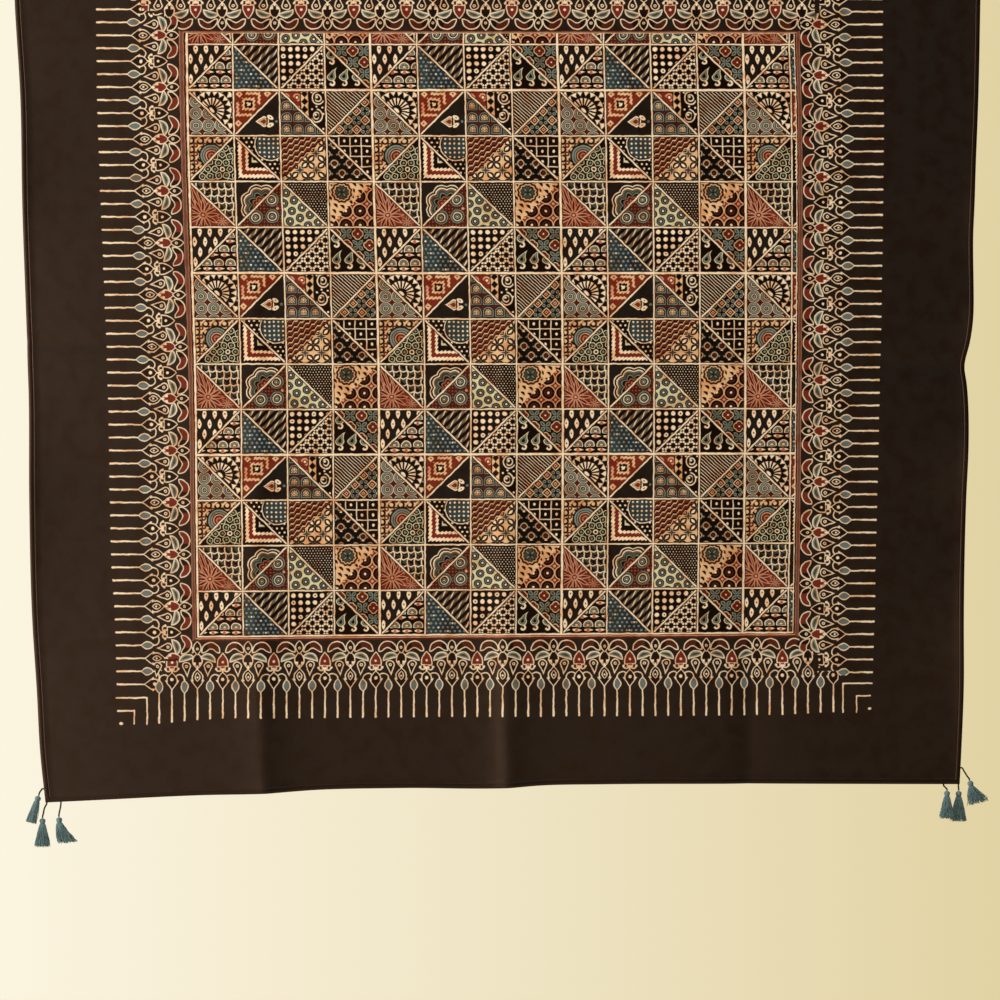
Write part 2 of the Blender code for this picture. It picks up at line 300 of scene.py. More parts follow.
@dataclass(frozen=True)
class PatchPrint:
    """The patches of the field, each printed in one triangle of a cell. Every method is one block."""

    paint: Painter
    x: Field
    y: Field

    def at(self, x: float, y: float) -> tuple[Field, Field]:
        """The coordinates counted from a point."""
        return self.x - x, self.y - y

    def apart(self, x: float, y: float) -> Field:
        """The distance from a point."""
        return length(*self.at(x, y))

    def grid(self, x: float, y: float, wide: float, high: float) -> tuple[Field, Field]:
        """The coordinates counted from the nearest point of an upright lattice."""
        return (self.x - x).wrapped(wide), (self.y - y).wrapped(high)

    def lattice(self, x: float, y: float, first: tuple, second: tuple) -> tuple[Field, Field]:
        """The coordinates counted from the nearest point of a slanted lattice.

        Args:
            x: Across, of one of its points.
            y: Down, of that point.
            first: One step of the lattice.
            second: The other step.

        Returns:
            Across and down from the nearest point.
        """
        across, down = self.at(x, y)
        area = first[0] * second[1] - first[1] * second[0]
        one = (across * (second[1] / area) - down * (second[0] / area)).wrapped(1.0)
        two = (down * (first[0] / area) - across * (first[1] / area)).wrapped(1.0)
        return one * first[0] + two * second[0], one * first[1] + two * second[1]

    def slanted(self) -> tuple[Field, Field]:
        """The coordinates along the two diagonals: down to the right, and up to the right."""
        return (self.x + self.y) * SLANT, (self.x - self.y) * SLANT

    def box(self, left: float, right: float, top: float, bottom: float) -> Field:
        """A rectangle's shape: how far a point is past the nearest of its sides."""
        across, down = self.at((left + right) / 2, (top + bottom) / 2)
        return (abs(across) - (right - left) / 2).most(abs(down) - (bottom - top) / 2)

    def fan(self) -> None:
        """Cream wedges round an oval, and two rings of teeth."""
        across, down = self.at(0.53, 0.44)
        far = length(across, down)
        angle = abs(down.math("ARCTAN2", across).wrapped(TURN / 18))
        ring = far.above(0.120, 0.02).least(far.below(0.265, 0.02))
        self.paint.lay((angle - far * 0.36).below(0.0, 0.07).least(ring), Dye.CREAM)
        for start, end, lean in ((0.318, 0.420, 1.5), (0.440, 0.560, 1.2)):
            tooth = (angle - (far - start) * lean).below(0.0, 0.06)
            self.paint.lay(tooth.least(far.above(start, 0.02)).least(far.below(end, 0.02)), Dye.CREAM)
        along = (across + down) * SLANT
        beside = (across - down) * SLANT
        self.paint.fill(length(along * 0.5, beside), Dye.CREAM, 0.032)

    def fish_scales(self) -> None:
        """Nested arcs in columns, each cut off by the one above."""
        across, down = self.grid(0.18, 0.25, 0.27, 0.262)
        far = length(across, down).most((down + 0.070) * -3.0)
        bands = ((0.150, Dye.BLACK), (0.135, Dye.CREAM), (0.124, Dye.BLACK), (0.108, Dye.SAGE),
                 (0.080, Dye.BLACK), (0.060, Dye.CREAM), (0.049, Dye.BLACK), (0.024, Dye.SAGE))
        self.paint.rings(far, bands)

    def notched_square(self) -> None:
        """A notched square frame with bars and diamonds about it."""
        across, down = self.at(0.33, 0.31)
        square = abs(across).most(abs(down))
        notch = ((across + down) * (TURN / 0.085)).math("SINE") * 0.016
        self.paint.fill(square + notch, Dye.PEACH, 0.130)
        self.paint.rings(square - notch * 0.5, ((0.086, Dye.BLACK), (0.034, Dye.CREAM)))
        bars = self.box(0.28, 0.58, 0.055, 0.105).least(self.box(0.53, 0.58, 0.06, 0.30))
        self.paint.fill(bars + notch * 0.7, Dye.PEACH)
        self.paint.fill(self.box(0.07, 0.12, 0.28, 0.52) + notch * 0.7, Dye.PINK)
        self.paint.fill(self.box(0.06, 0.40, 0.52, 0.57) + notch * 0.7, Dye.PEACH)
        for x, y in ((0.13, 0.09), (0.10, 0.73), (0.74, 0.08)):
            aside, off = self.at(x, y)
            self.paint.rings(abs(aside) + abs(off), ((0.076, Dye.PEACH), (0.022, Dye.BLACK)))

    def lone_leaf(self) -> None:
        """One pointed leaf with a red heart, and a bow of two leaves behind it."""
        across, down = self.at(0.645, 0.69)
        leaf = tear(down, across * -1.0, 0.118, 0.175)
        self.paint.rings(leaf, ((0.0, Dye.CREAM), (-0.028, Dye.BLACK), (-0.042, Dye.PEACH), (-0.062, Dye.RUST)))
        self.paint.fill(self.box(0.705, 0.74, 0.5, 0.9), Dye.BLACK)
        aside = (self.x - 0.79) * 0.9
        for y, lean in ((0.60, -0.5), (0.765, 0.5)):
            off = self.y - y
            bow = length(aside + off * lean, off * 1.05)
            self.paint.rings(bow, ((0.054, Dye.CREAM), (0.016, Dye.GROUND)))
        self.paint.fill(self.apart(0.92, 0.685), Dye.SLATE, 0.028)

    def scroll_strips(self) -> None:
        """Upright strips: scrolls on rust, diamonds on cream, and curled sprays on black."""
        rust = self.x.below(0.44, 0.02)
        self.paint.lay(rust, Dye.RUST)
        across, down = self.grid(0.13, 0.16, 0.25, 0.27)
        curl = length(across, down)
        hook = abs(curl - 0.072).below(0.016, self.paint.soft).least((across - down).above(-0.06, 0.03))
        self.paint.lay(hook.least(rust), Dye.PINK)
        self.paint.lay(curl.below(0.026, self.paint.soft).least(rust), Dye.CREAM)
        self.paint.fill(self.box(0.47, 0.62, -0.1, 1.1), Dye.PEACH)
        self.paint.fill(abs(self.x - 0.545) + abs((self.y - 0.08).wrapped(0.17)) * 0.9, Dye.BLACK, 0.076)
        for x, y, side in ((0.835, 0.17, -1.0), (0.795, 0.56, 1.0)):
            aside, off = self.at(x, y)
            far = length(aside, off * 0.9)
            part = (aside * side + off * 0.6).above(-0.07, 0.03)
            self.paint.lay(abs(far - 0.125).below(0.011, self.paint.soft).least(part), Dye.CREAM)
            ring = abs(far - 0.066).below(0.010, self.paint.soft).least((aside * side).below(0.05, 0.03))
            self.paint.lay(ring, Dye.CREAM)
            self.paint.fill(length(aside + 0.02, off + 0.02), Dye.CREAM, 0.024)
        dots = ((0.70, 0.05), (0.95, 0.05), (0.70, 0.42), (0.93, 0.38), (0.94, 0.52), (0.93, 0.85), (0.80, 0.36))
        for x, y in dots:
            self.paint.fill(self.apart(x, y), Dye.CREAM, 0.020)

    def arches(self) -> None:
        """Rounded arches in rows, each with four seeds."""
        across, down = self.grid(0.145, 0.34, 0.255, 0.257)
        far = length(across, down.math("MINIMUM", 0.0)).most(down * 1.15)
        bands = ((0.130, Dye.BLACK), (0.112, Dye.SAGE), (0.094, Dye.BLACK), (0.066, Dye.PEACH))
        self.paint.rings(far, bands)
        seed = length(abs(across) - 0.034, abs(down + 0.01) - 0.034)
        self.paint.rings(seed, ((0.028, Dye.BLACK), (0.010, Dye.CREAM)))

    def thin_stripes(self) -> None:
        """Thin stripes down to the right."""
        self.paint.fill(abs((self.y - self.x * 0.92).wrapped(0.078)), Dye.CREAM, 0.0080)

    def daisy_rings(self) -> None:
        """Open diamonds about rounds of four small rings."""
        across, down = self.lattice(0.66, 0.46, (0.1875, 0.2), (0.1875, -0.2))
        diamond = abs(across) + abs(down)
        self.paint.rings(diamond, ((0.112, Dye.PEACH), (0.084, Dye.BLACK), (0.046, Dye.PINK), (0.020, Dye.BLACK)))
        aside, off = self.lattice(0.66, 0.66, (0.1875, 0.2), (0.1875, -0.2))
        ring = length(abs(aside) - 0.052, abs(off) - 0.052)
        self.paint.rings(ring, ((0.036, Dye.SAGE), (0.016, Dye.BLACK)))

    def scroll_rosette(self) -> None:
        """Black scrolls and red flowers on peach, about half of a beaded rosette."""
        across, down = self.grid(0.06, 0.30, 0.205, 0.19)
        curl = length(across, down)
        hook = abs(curl - 0.064).below(0.024, self.paint.soft).least((across + down).above(-0.07, 0.03))
        self.paint.lay(hook, Dye.BLACK)
        flower = length(*self.grid(0.16, 0.205, 0.205, 0.19))
        self.paint.rings(flower, ((0.056, Dye.BLACK), (0.042, Dye.MADDER), (0.018, Dye.PEACH)))
        far = self.apart(0.5, 0.44)
        bands = ((0.278, Dye.BLACK), (0.240, Dye.SAGE), (0.205, Dye.BLACK), (0.188, Dye.SAGE),
                 (0.155, Dye.BLACK), (0.130, Dye.PINK), (0.108, Dye.OXBLOOD), (0.070, Dye.BLUSH), (0.035, Dye.MADDER))
        self.paint.rings(far, bands)

    def pebble_rings(self) -> None:
        """Rounded diamond petals round a small ring."""
        across, down = self.at(0.73, 0.73)
        far = length(across, down)
        angle = down.math("ARCTAN2", across)
        for middle, count in ((0.160, 6), (0.315, 12), (0.465, 18)):
            aside = angle.wrapped(TURN / count) * middle
            off = far - middle
            petal = length(aside, off) + (abs(aside) + abs(off)) * 0.38
            self.paint.line(petal, Dye.STRAW, 0.022, 0.098)
            self.paint.rings(petal, ((0.036, Dye.SAGE),))
        self.paint.line(far, Dye.CREAM, 0.022, 0.042)

    def dotted_moon(self) -> None:
        """Small dots, and a dark teal round with dots of its own."""
        self.paint.fill(length(*self.lattice(0.1, 0.05, (0.11, 0.0), (0.055, 0.095))), Dye.CREAM, 0.020)
        moon = self.apart(0.78, 0.2)
        self.paint.rings(moon, ((0.345, Dye.CREAM), (0.329, Dye.BLACK), (0.300, Dye.TEAL)))
        dots = length(*self.grid(0.55, 0.07, 0.098, 0.098))
        self.paint.lay(dots.below(0.020, self.paint.soft).least(moon.below(0.295, 0.02)), Dye.CREAM)

    def nested_bands(self) -> None:
        """Wavy bands nested in the corner, about a triangle."""
        inward = self.x.least(self.y * -1.0 + 1.0)
        wave = ((self.x + self.y) * (TURN / 0.085)).math("SINE") * 0.012
        bands = ((0.290, Dye.CREAM), (0.240, Dye.RUST), (0.150, Dye.CREAM))
        for edge, dye in bands:
            self.paint.fill(inward + wave, dye, edge)
        self.paint.fill(inward - wave, Dye.BLACK, 0.082)
        across, down = self.at(0.375, 0.585)
        heart = (across * -1.0).most(down).most((across - down) * SLANT - 0.080)
        self.paint.fill(heart, Dye.STRAW)
        self.paint.fill(self.apart(0.425, 0.515), Dye.BLACK, 0.028)

    def stairs(self) -> None:
        """Stepped lines that climb to the right."""
        climb = self.y + self.x * 0.80 + abs(self.x.wrapped(0.125)) * 0.80
        self.paint.fill(abs((climb - 0.050).wrapped(0.125)), Dye.MADDER, 0.017)
        self.paint.fill(abs(climb.wrapped(0.125)), Dye.PEACH, 0.0125)

    def almond_leaves(self) -> None:
        """Black almonds with a slit, four about each dark cross."""
        across, down = self.grid(0.765, 0.75, 0.36, 0.36)
        along = (abs(across) + abs(down)) * SLANT
        beside = (abs(across) - abs(down)) * SLANT
        leaf = spindle(beside, along - 0.150, 0.072, 0.102)
        self.paint.rings(leaf, ((0.0, Dye.BLACK), (-0.046, Dye.CREAM)))
        cross = spindle(down, across, 0.026, 0.10).least(spindle(across, down, 0.026, 0.10))
        self.paint.fill(cross, Dye.TEAL)

    def dotted_panes(self) -> None:
        """A grid of panes with a dot in each."""
        across, down = self.grid(0.385, 0.335, 0.243, 0.225)
        self.paint.fill(abs(across) * -1.0, Dye.CREAM, -0.1122)
        self.paint.fill(abs(down) * -1.0, Dye.CREAM, -0.1038)
        self.paint.fill(length(across * 1.15, down * 0.9), Dye.CREAM, 0.028)

    def ring_buds(self) -> None:
        """Ringed buds, each over a drop."""
        across, down = self.lattice(0.16, 0.60, (0.32, 0.0), (0.16, 0.21))
        ring = length(across, down) + (abs(across) + abs(down)) * 0.25
        bands = ((0.114, Dye.TAUPE), (0.094, Dye.PEACH), (0.080, Dye.BLACK), (0.050, Dye.OXBLOOD))
        self.paint.rings(ring, bands)
        self.paint.fill(length(across, down - 0.105), Dye.CREAM, 0.027)
        self.paint.fill(length(abs(across) - 0.105, down - 0.02), Dye.SAGE, 0.018)

    def scale_net(self) -> None:
        """A net of curved scales, with grey and plum between the lines."""
        down = self.y + (self.x * (TURN / 0.154)).math("COSINE") * 0.014
        across = self.x + (self.y * (TURN / 0.308)).math("SINE") * 0.016
        aside = (across - 0.085).wrapped(0.154)
        off = (down - 0.085).wrapped(0.154)
        pane = abs(aside).most(abs(off))
        upright = (self.x * (TURN / 0.616)).math("SINE")
        checker = (upright * (self.y * (TURN / 0.462)).math("SINE")).above(0.0, 0.3)
        self.paint.lay((aside - off).above(0.0, 0.06).least(checker), Dye.MOSS)
        self.paint.lay((off - aside).above(0.03, 0.06).least(checker * -1.0 + 1.0), Dye.PLUM)
        self.paint.line(pane, Dye.MOSS, 0.040, 0.077)
        self.paint.line(pane, Dye.CREAM, 0.020, 0.077)

    def big_flower(self) -> None:
        """A flower of twelve petals, a small one beside it, and long leaves above."""
        leaf_across, leaf_down = self.at(0.13, 0.36)
        lean = (leaf_across - leaf_down * 0.35).wrapped(0.105)
        leaf = spindle(lean, leaf_down, 0.043, 0.30)
        self.paint.rings(leaf, ((-0.002, Dye.PINK), (-0.016, Dye.OXBLOOD)))
        for x, y, reach, count, width in ((0.28, 0.73, 0.36, 12, 0.040), (0.70, 0.88, 0.16, 8, 0.026)):
            across, down = self.at(x, y)
            far = length(across, down)
            aside = down.math("ARCTAN2", across).wrapped(TURN / count) * far
            petal = spindle(aside, far - reach * 0.55, width, reach * 0.46)
            self.paint.rings(petal, ((0.0, Dye.PINK), (-width * 0.36, Dye.OXBLOOD)))
            self.paint.rings(far, ((reach * 0.15, Dye.OXBLOOD), (reach * 0.08, Dye.PINK)))

    def lotus_outline(self) -> None:
        """Two scalloped outlines about grey-green petals and a red heart."""
        across, down = self.at(0.56, 0.52)
        far = length(across, down)
        turn = down.math("ARCTAN2", across) * 4.0
        scallop = abs(turn.math("SINE")) * 0.055
        lotus = far - scallop
        self.paint.line(lotus, Dye.CREAM, 0.020, 0.405)
        self.paint.line(lotus, Dye.CREAM, 0.024, 0.340)
        inner = far - scallop * 1.6
        self.paint.rings(inner, ((0.290, Dye.TAUPE), (0.270, Dye.MOSS), (0.205, Dye.SAGE), (0.188, Dye.BLACK)))
        self.paint.rings(far - scallop * 0.9, ((0.160, Dye.BLUSH), (0.142, Dye.OXBLOOD), (0.085, Dye.BLUSH)))

    def tear_rings(self) -> None:
        """Ringed rounds on red with pink dots."""
        self.paint.fill(length(*self.grid(0.03, 0.02, 0.072, 0.072)), Dye.BLUSH, 0.011)
        for x, y in ((0.77, 0.40), (0.42, 0.79), (0.775, 0.765)):
            across, down = self.at(x, y)
            tip = (across - down) * SLANT
            ring = length(across, down) - tip.math("MAXIMUM", 0.0) * 0.12
            bands = ((0.158, Dye.BLACK), (0.144, Dye.SAGE), (0.128, Dye.MOSS), (0.094, Dye.CREAM),
                     (0.078, Dye.BLACK), (0.048, Dye.SAGE), (0.030, Dye.BLACK), (0.014, Dye.CREAM))
            self.paint.rings(ring, bands)
        self.paint.fill(self.apart(0.90, 0.585), Dye.PINK, 0.030)

    def fine_dots(self) -> None:
        """Dense small dots in crooked rows."""
        crooked = (self.x * 21.0).math("SINE") * 0.016
        bent = (self.y * 17.0).math("SINE") * 0.018
        across, down = self.lattice(0.03, 0.02, (0.064, 0.0), (0.032, 0.052))
        self.paint.fill(length(across + crooked * 0.3, down + bent * 0.3), Dye.CREAM, 0.0088)

    def black_rings(self) -> None:
        """Black rounds with a slate middle, on straw yellow."""
        across, down = self.lattice(0.09, 0.25, (0.17, 0.16), (-0.05, 0.23))
        far = length(across, down)
        self.paint.rings(far, ((0.096, Dye.BLACK), (0.070, Dye.SLATE), (0.050, Dye.BLACK), (0.022, Dye.CREAM)))

    def peach_rosette(self) -> None:
        """A rosette with a rust rim among small black commas, on peach."""
        across, down = self.lattice(0.1, 0.1, (0.15, 0.03), (-0.03, 0.13))
        beside = (across - down) * SLANT
        along = (across + down) * SLANT
        comma = spindle(beside + along * along * 5.0 - 0.012, along, 0.030, 0.068)
        self.paint.fill(comma, Dye.BLACK)
        aside, off = self.at(0.30, 0.235)
        far = length(aside, off)
        scallop = (off.math("ARCTAN2", aside) * 12.0).math("COSINE") * 0.010
        bands = ((0.248, Dye.PEACH), (0.228, Dye.BLACK), (0.210, Dye.OXBLOOD), (0.178, Dye.PEACH),
                 (0.158, Dye.BLACK), (0.142, Dye.MOSS))
        self.paint.rings(far + scallop, bands)
        cross = length((abs(aside) - abs(off)) * SLANT, (far - 0.075) * 0.4)
        self.paint.rings(cross, ((0.030, Dye.BLACK), (0.014, Dye.SAGE)))

    def ogee_lattice(self) -> None:
        """Touching dark rounds with a cream dot, and curved red stars between them."""
        far = length(*self.grid(0.685, 0.64, 0.31, 0.31))
        self.paint.fill(length(*self.grid(0.84, 0.485, 0.31, 0.31)), Dye.PINK, 0.028)
        self.paint.line(far, Dye.PEACH, 0.018, 0.149)
        self.paint.rings(far, ((0.136, Dye.BLACK), (0.088, Dye.OXBLOOD), (0.060, Dye.BLACK), (0.026, Dye.CREAM)))

    def spindles(self) -> None:
        """Staggered cream spindles."""
        across, down = self.lattice(0.08, 0.32, (0.225, 0.0), (0.1125, 0.222))
        self.paint.fill(spindle(across, down, 0.044, 0.112), Dye.CREAM)
        self.paint.fill(length(across * 1.4, down), Dye.MOSS, 0.022)

    def umbrellas(self) -> None:
        """Small umbrellas, each over a leaf with a red drop."""
        across, down = self.lattice(0.59, 0.80, (0.255, 0.0), (0.1275, 0.30))
        dome = length(across, down).most(down * 3.0)
        bands = ((0.108, Dye.CREAM), (0.090, Dye.MOSS), (0.072, Dye.SAGE), (0.052, Dye.BLACK), (0.034, Dye.PEACH))
        self.paint.rings(dome, bands)
        self.paint.fill(spindle(down - 0.105, across, 0.026, 0.115), Dye.CREAM)
        self.paint.fill(spindle(across, down - 0.125, 0.036, 0.062), Dye.BLUSH)

    def beaded_bars(self) -> None:
        """Broken bars of grey beads that climb to the right."""
        bar, along = self.slanted()
        across = abs((bar - 0.07).wrapped(0.142))
        bead = abs((along + bar * 4.1).wrapped(0.085))
        self.paint.lay(across.below(0.026, 0.03).least(bead.below(0.034, 0.03)), Dye.TAUPE)
        bright = abs((along + bar * 2.7).wrapped(0.24))
        self.paint.lay(across.below(0.024, 0.03).least(bright.below(0.028, 0.04)), Dye.CREAM)

    def indigo_dots(self) -> None:
        """Small staggered dots on indigo, which is greener and lighter at the left."""
        self.paint.lay((self.x - self.y * 0.15).below(0.16, 0.5), Dye.TEAL)
        self.paint.fill(length(*self.lattice(0.08, 0.3, (0.105, 0.0), (0.052, 0.088))), Dye.SAGE, 0.024)
        self.paint.fill(length(*self.lattice(0.08, 0.3, (0.21, 0.088), (0.105, 0.264))), Dye.CREAM, 0.018)

    def ring_rows(self) -> None:
        """Rows of cream rounds, some with a black eye."""
        self.paint.fill(length(*self.grid(0.105, 0.105, 0.158, 0.158)), Dye.CREAM, 0.047)
        self.paint.fill(length(*self.lattice(0.105, 0.263, (0.474, -0.158), (0.158, 0.316))), Dye.BLACK, 0.018)

    def petal_lattice(self) -> None:
        """Four round petals about each crossing, with dark squares between."""
        across, down = self.grid(0.715, 0.71, 0.195, 0.215)
        near, nearer = abs(across), abs(down)
        one = length(near - 0.068, nearer - 0.030)
        two = length(near - 0.030, nearer - 0.070)
        self.paint.fill(one.least(two), Dye.CREAM, 0.0225)

    def quatrefoils(self) -> None:
        """Red quatrefoils and leaf crosses by turns."""
        across, down = self.lattice(0.62, 0.14, (0.245, 0.25), (0.245, -0.25))
        along = (abs(across) + abs(down)) * SLANT
        beside = (abs(across) - abs(down)) * SLANT
        lobe = length(along - 0.036, abs(beside) - 0.036)
        self.paint.rings(lobe, ((0.076, Dye.PEACH), (0.058, Dye.BLACK), (0.040, Dye.MADDER), (0.010, Dye.BLACK)))
        self.paint.fill(length(across, down), Dye.CREAM, 0.016)
        aside, off = self.lattice(0.62, 0.39, (0.245, 0.25), (0.245, -0.25))
        out = (abs(aside) + abs(off)) * SLANT
        leaf = spindle((abs(aside) - abs(off)) * SLANT, out - 0.084, 0.040, 0.074)
        self.paint.rings(leaf, ((0.0, Dye.SAGE), (-0.020, Dye.MOSS)))

    def paisleys(self) -> None:
        """Upright paisleys that bend at the tip, over hooked feet."""
        across = (self.x - 0.140).wrapped(0.27)
        for y in (0.70, 0.23):
            down = self.y - y
            rise = (down * -1.0 + 0.02).math("MAXIMUM", 0.0)
            body = tear(across - rise * rise * 2.6, down * -1.0, 0.088, 0.175)
            self.paint.line(body, Dye.STRAW, 0.022, 0.0)
            self.paint.fill(body, Dye.BLACK, -0.014)
            self.paint.line(body, Dye.SAGE, 0.022, -0.036)
            aside, off = across - 0.015, down - 0.145
            foot = abs(length(aside, off) - 0.046).below(0.018, self.paint.soft)
            self.paint.lay(foot.least((aside + off).above(-0.03, 0.02)), Dye.CREAM)


class Cell(NamedTuple):
    """One cell's two patches, printed each side of a diagonal line."""

    upper: Callable
    upper_ground: Dye
    lower: Callable
    lower_ground: Dye
    falls: bool
    has_line: bool


# The block of four by four cells, row by row. A diagonal that falls runs down to the right.
P = PatchPrint
CELLS = (
    (Cell(P.fan, Dye.BLACK, P.fish_scales, Dye.OXBLOOD, True, True),
     Cell(P.notched_square, Dye.RUST, P.lone_leaf, Dye.GROUND, False, True),
     Cell(P.scroll_strips, Dye.BLACK, P.arches, Dye.OXBLOOD, True, True),
     Cell(P.thin_stripes, Dye.BLACK, P.daisy_rings, Dye.BLACK, False, True)),
    (Cell(P.scroll_rosette, Dye.PEACH, P.pebble_rings, Dye.BLACK, False, True),
     Cell(P.dotted_moon, Dye.BLACK, P.nested_bands, Dye.BLACK, True, True),
     Cell(P.stairs, Dye.BLACK, P.almond_leaves, Dye.PEACH, False, False),
     Cell(P.dotted_panes, Dye.BLACK, P.ring_buds, Dye.BLACK, True, True)),
    (Cell(P.scale_net, Dye.BLACK, P.big_flower, Dye.RUST, True, True),
     Cell(P.lotus_outline, Dye.GROUND, P.tear_rings, Dye.OXBLOOD, False, True),
     Cell(P.fine_dots, Dye.BLACK, P.black_rings, Dye.STRAW, True, True),
     Cell(P.peach_rosette, Dye.PEACH, P.ogee_lattice, Dye.RUST, False, False)),
    (Cell(P.spindles, Dye.GROUND, P.umbrellas, Dye.BLACK, False, True),
     Cell(P.beaded_bars, Dye.BLACK, P.indigo_dots, Dye.INDIGO, True, True),
     Cell(P.ring_rows, Dye.BLACK, P.petal_lattice, Dye.BLACK, False, True),
     Cell(P.quatrefoils, Dye.BLACK, P.paisleys, Dye.BLACK, True, True)),
)
CELLS_EACH_WAY = 4


@dataclass(frozen=True)
class BorderPrint:
    """The floral border: lotus, bud, star tree, bud, each on a stem. Units are the border block's."""

    paint: Painter
    heart: Dye
    spade: Dye
    crescent: Dye
    repeat: float = 50.8
    line_width: float = 0.95
    stem_width: float = 1.35
    stem_end: float = 79.0

    def outlined(self, shape: Field, dye: Dye) -> None:
        """Print a shape in a colour with a cream outline.

        Args:
            shape: Under 0 inside.
            dye: The colour inside.
        """
        self.paint.fill(shape, dye)
        self.paint.line(shape, Dye.CREAM, self.line_width)

    def dot(self, x: Field, t: Field, radius: float, hollow: bool) -> None:
        """Print a dot, or a ring with a dark middle.

        Args:
            x: Across, from its middle.
            t: Outwards, from its middle.
            radius: Its radius.
            hollow: Whether it is a ring.
        """
        far = length(x, t)
        self.paint.fill(far, Dye.CREAM, radius)
        if hollow:
            self.paint.fill(far, Dye.BLACK, radius * 0.45)

    def stems(self, a: Field, t: Field) -> None:
        """The cream stems: one every quarter of a repeat, round at their ends.

        Args:
            a: Distance from the lotus's axis, up to half a repeat.
            t: Outwards from the frame.
        """
        half = self.stem_width / 2
        beside = a.wrapped(self.repeat / 4)
        past = (t - (self.stem_end - half)).math("MAXIMUM", 0.0)
        before = (t * -1.0 + 47.5).math("MAXIMUM", 0.0)
        taper = (t - 60.0) * 0.012
        self.paint.fill(length(beside, past + before) - taper, Dye.CREAM, half)

    def lotus(self, a: Field, t: Field) -> None:
        """The lotus: bud, crescents, wings, heart, drops and shield.

        Args:
            a: Distance from the lotus's axis.
            t: Outwards from the frame.
        """
        aside = a - 13.4
        wave = (aside * 0.40).math("COSINE") * 1.8
        crescent = (length(aside * 1.03, t - 10.6) - 9.3).most(t - 9.6 + wave)
        self.outlined(crescent, Dye.BLACK)
        self.paint.fill(crescent.most((a - 9.5) * -1.0), self.crescent, -0.9)
        wing = (length(a - 10.2, t - 20.2) - 7.6).most(t - 18.2 - (a - 9.4) * 0.30)
        self.paint.fill(wing, Dye.MOSS)
        self.paint.line(wing, Dye.SAGE, 2.4, -0.6)
        self.paint.line(wing, Dye.CREAM, self.line_width)
        self.paint.fill((a - 3.6).most(abs(t - 14.8 - a * 0.2) - 0.8), Dye.SAGE)
        cup = spindle(a, t - 19.6, 4.7, 8.0)
        self.outlined(cup, self.heart)
        barb = (a + (t - 26.6) * 0.9).most(t * -1.0 + 21.2).most((a - 1.6) * -1.0)
        self.paint.fill(barb.least((a - 0.9).most(abs(t - 27.0) - 2.4)), Dye.CREAM)
        bud = spindle(a, t - 6.7, 3.9, 6.5)
        self.outlined(bud, Dye.BLACK)
        self.dot(a, t - 7.6, 1.3, True)
        lean = a - 10.9 + (t - 24.0) * 0.08
        drop = tear(lean, t - 24.8, 4.0, 9.6)
        self.outlined(drop, Dye.BLACK)
        self.dot(a - 10.9, t - 24.8, 1.5, True)
        top = spindle(a, t - 36.2, 5.3, 8.2).most(t - 42.0)
        base = (a + (t - 47.6) * 0.75).most(t * -1.0 + 39.4)
        barbs = (a + (t - 41.6) * 1.6 - 1.2).most(t * -1.0 + 38.0).most(a - 6.6)
        self.paint.fill(barbs, Dye.CREAM)
        self.outlined(top.least(base), Dye.BLACK)
        self.paint.line(spindle(a, t - 35.6, 2.4, 4.2), Dye.CREAM, self.line_width * 0.9)
        self.dot(a, t - 36.0, 0.9, False)

    def star_tree(self, b: Field, t: Field) -> None:
        """The star tree: spade, curls, shield and the arms that reach to the buds.

        Args:
            b: Distance from the tree's axis.
            t: Outwards from the frame.
        """
        arm = abs(length(b - 7.6, t - 38.4) - 5.1).most(t - 38.6).most(b * -1.0 + 4.4)
        self.paint.fill(arm, Dye.CREAM, self.line_width / 2)
        self.paint.fill((b - 0.8).most(abs(t - 29.0) - 4.0), Dye.CREAM)
        spade = spindle(b, t - 23.0, 5.4, 11.0).most(t - 25.4)
        foot = (b - 2.4).most(abs(t - 26.4) - 1.6)
        self.outlined(spade.least(foot), self.spade)
        self.dot(b, t - 20.8, 1.2, False)
        curl = abs(length(b - 3.6, t - 27.2) - 2.8).most(t * -1.0 + 27.4)
        self.paint.fill(curl, Dye.CREAM, 0.60)
        self.paint.fill(length(b - 6.4, t - 27.4), Dye.CREAM, 1.15)
        top = spindle(b, t - 38.8, 5.0, 7.4).most(t - 42.6)
        base = (b + (t - 48.2) * 0.72).most(t * -1.0 + 40.4)
        barbs = (b + (t - 43.0) * 1.6 - 1.2).most(t * -1.0 + 38.8).most(b - 6.8)
        self.paint.fill(barbs, Dye.CREAM)
        self.outlined(top.least(base), Dye.BLACK)
        self.dot(b, t - 38.0, 1.6, False)

    def bud(self, a: Field, t: Field) -> None:
        """The slate bud on the stem a quarter of a repeat from each axis.

        Args:
            a: Distance from the lotus's axis.
            t: Outwards from the frame.
        """
        aside = a - self.repeat / 4
        bud = spindle(aside, t - 45.2, 3.5, 6.4)
        self.outlined(bud, Dye.SLATE)
        self.paint.fill((abs(aside) - 0.45).most(abs(t - 38.6) - 1.2), Dye.CREAM)

    def motifs(self, s: Field, t: Field) -> None:
        """Print one side's whole row of motifs.

        Args:
            s: Along the side, 0 on a lotus's axis.
            t: Outwards from the frame.
        """
        a = abs(s.wrapped(self.repeat))
        self.stems(a, t)
        self.star_tree(a * -1.0 + self.repeat / 2, t)
        self.lotus(a, t)
        self.bud(a, t)


@dataclass(frozen=True)
class CornerMarks:
    """The nested corner strokes outside the last stems, as distances outward from both frames."""

    outer_bend: tuple[float, float]
    outer_ends: tuple[float, float]
    inner_bend: tuple[float, float]
    inner_ends: tuple[float, float]
    spot: tuple[float, float]
    level_reach: float
    side_reach: float
    side_clear: float
    level_clear: float


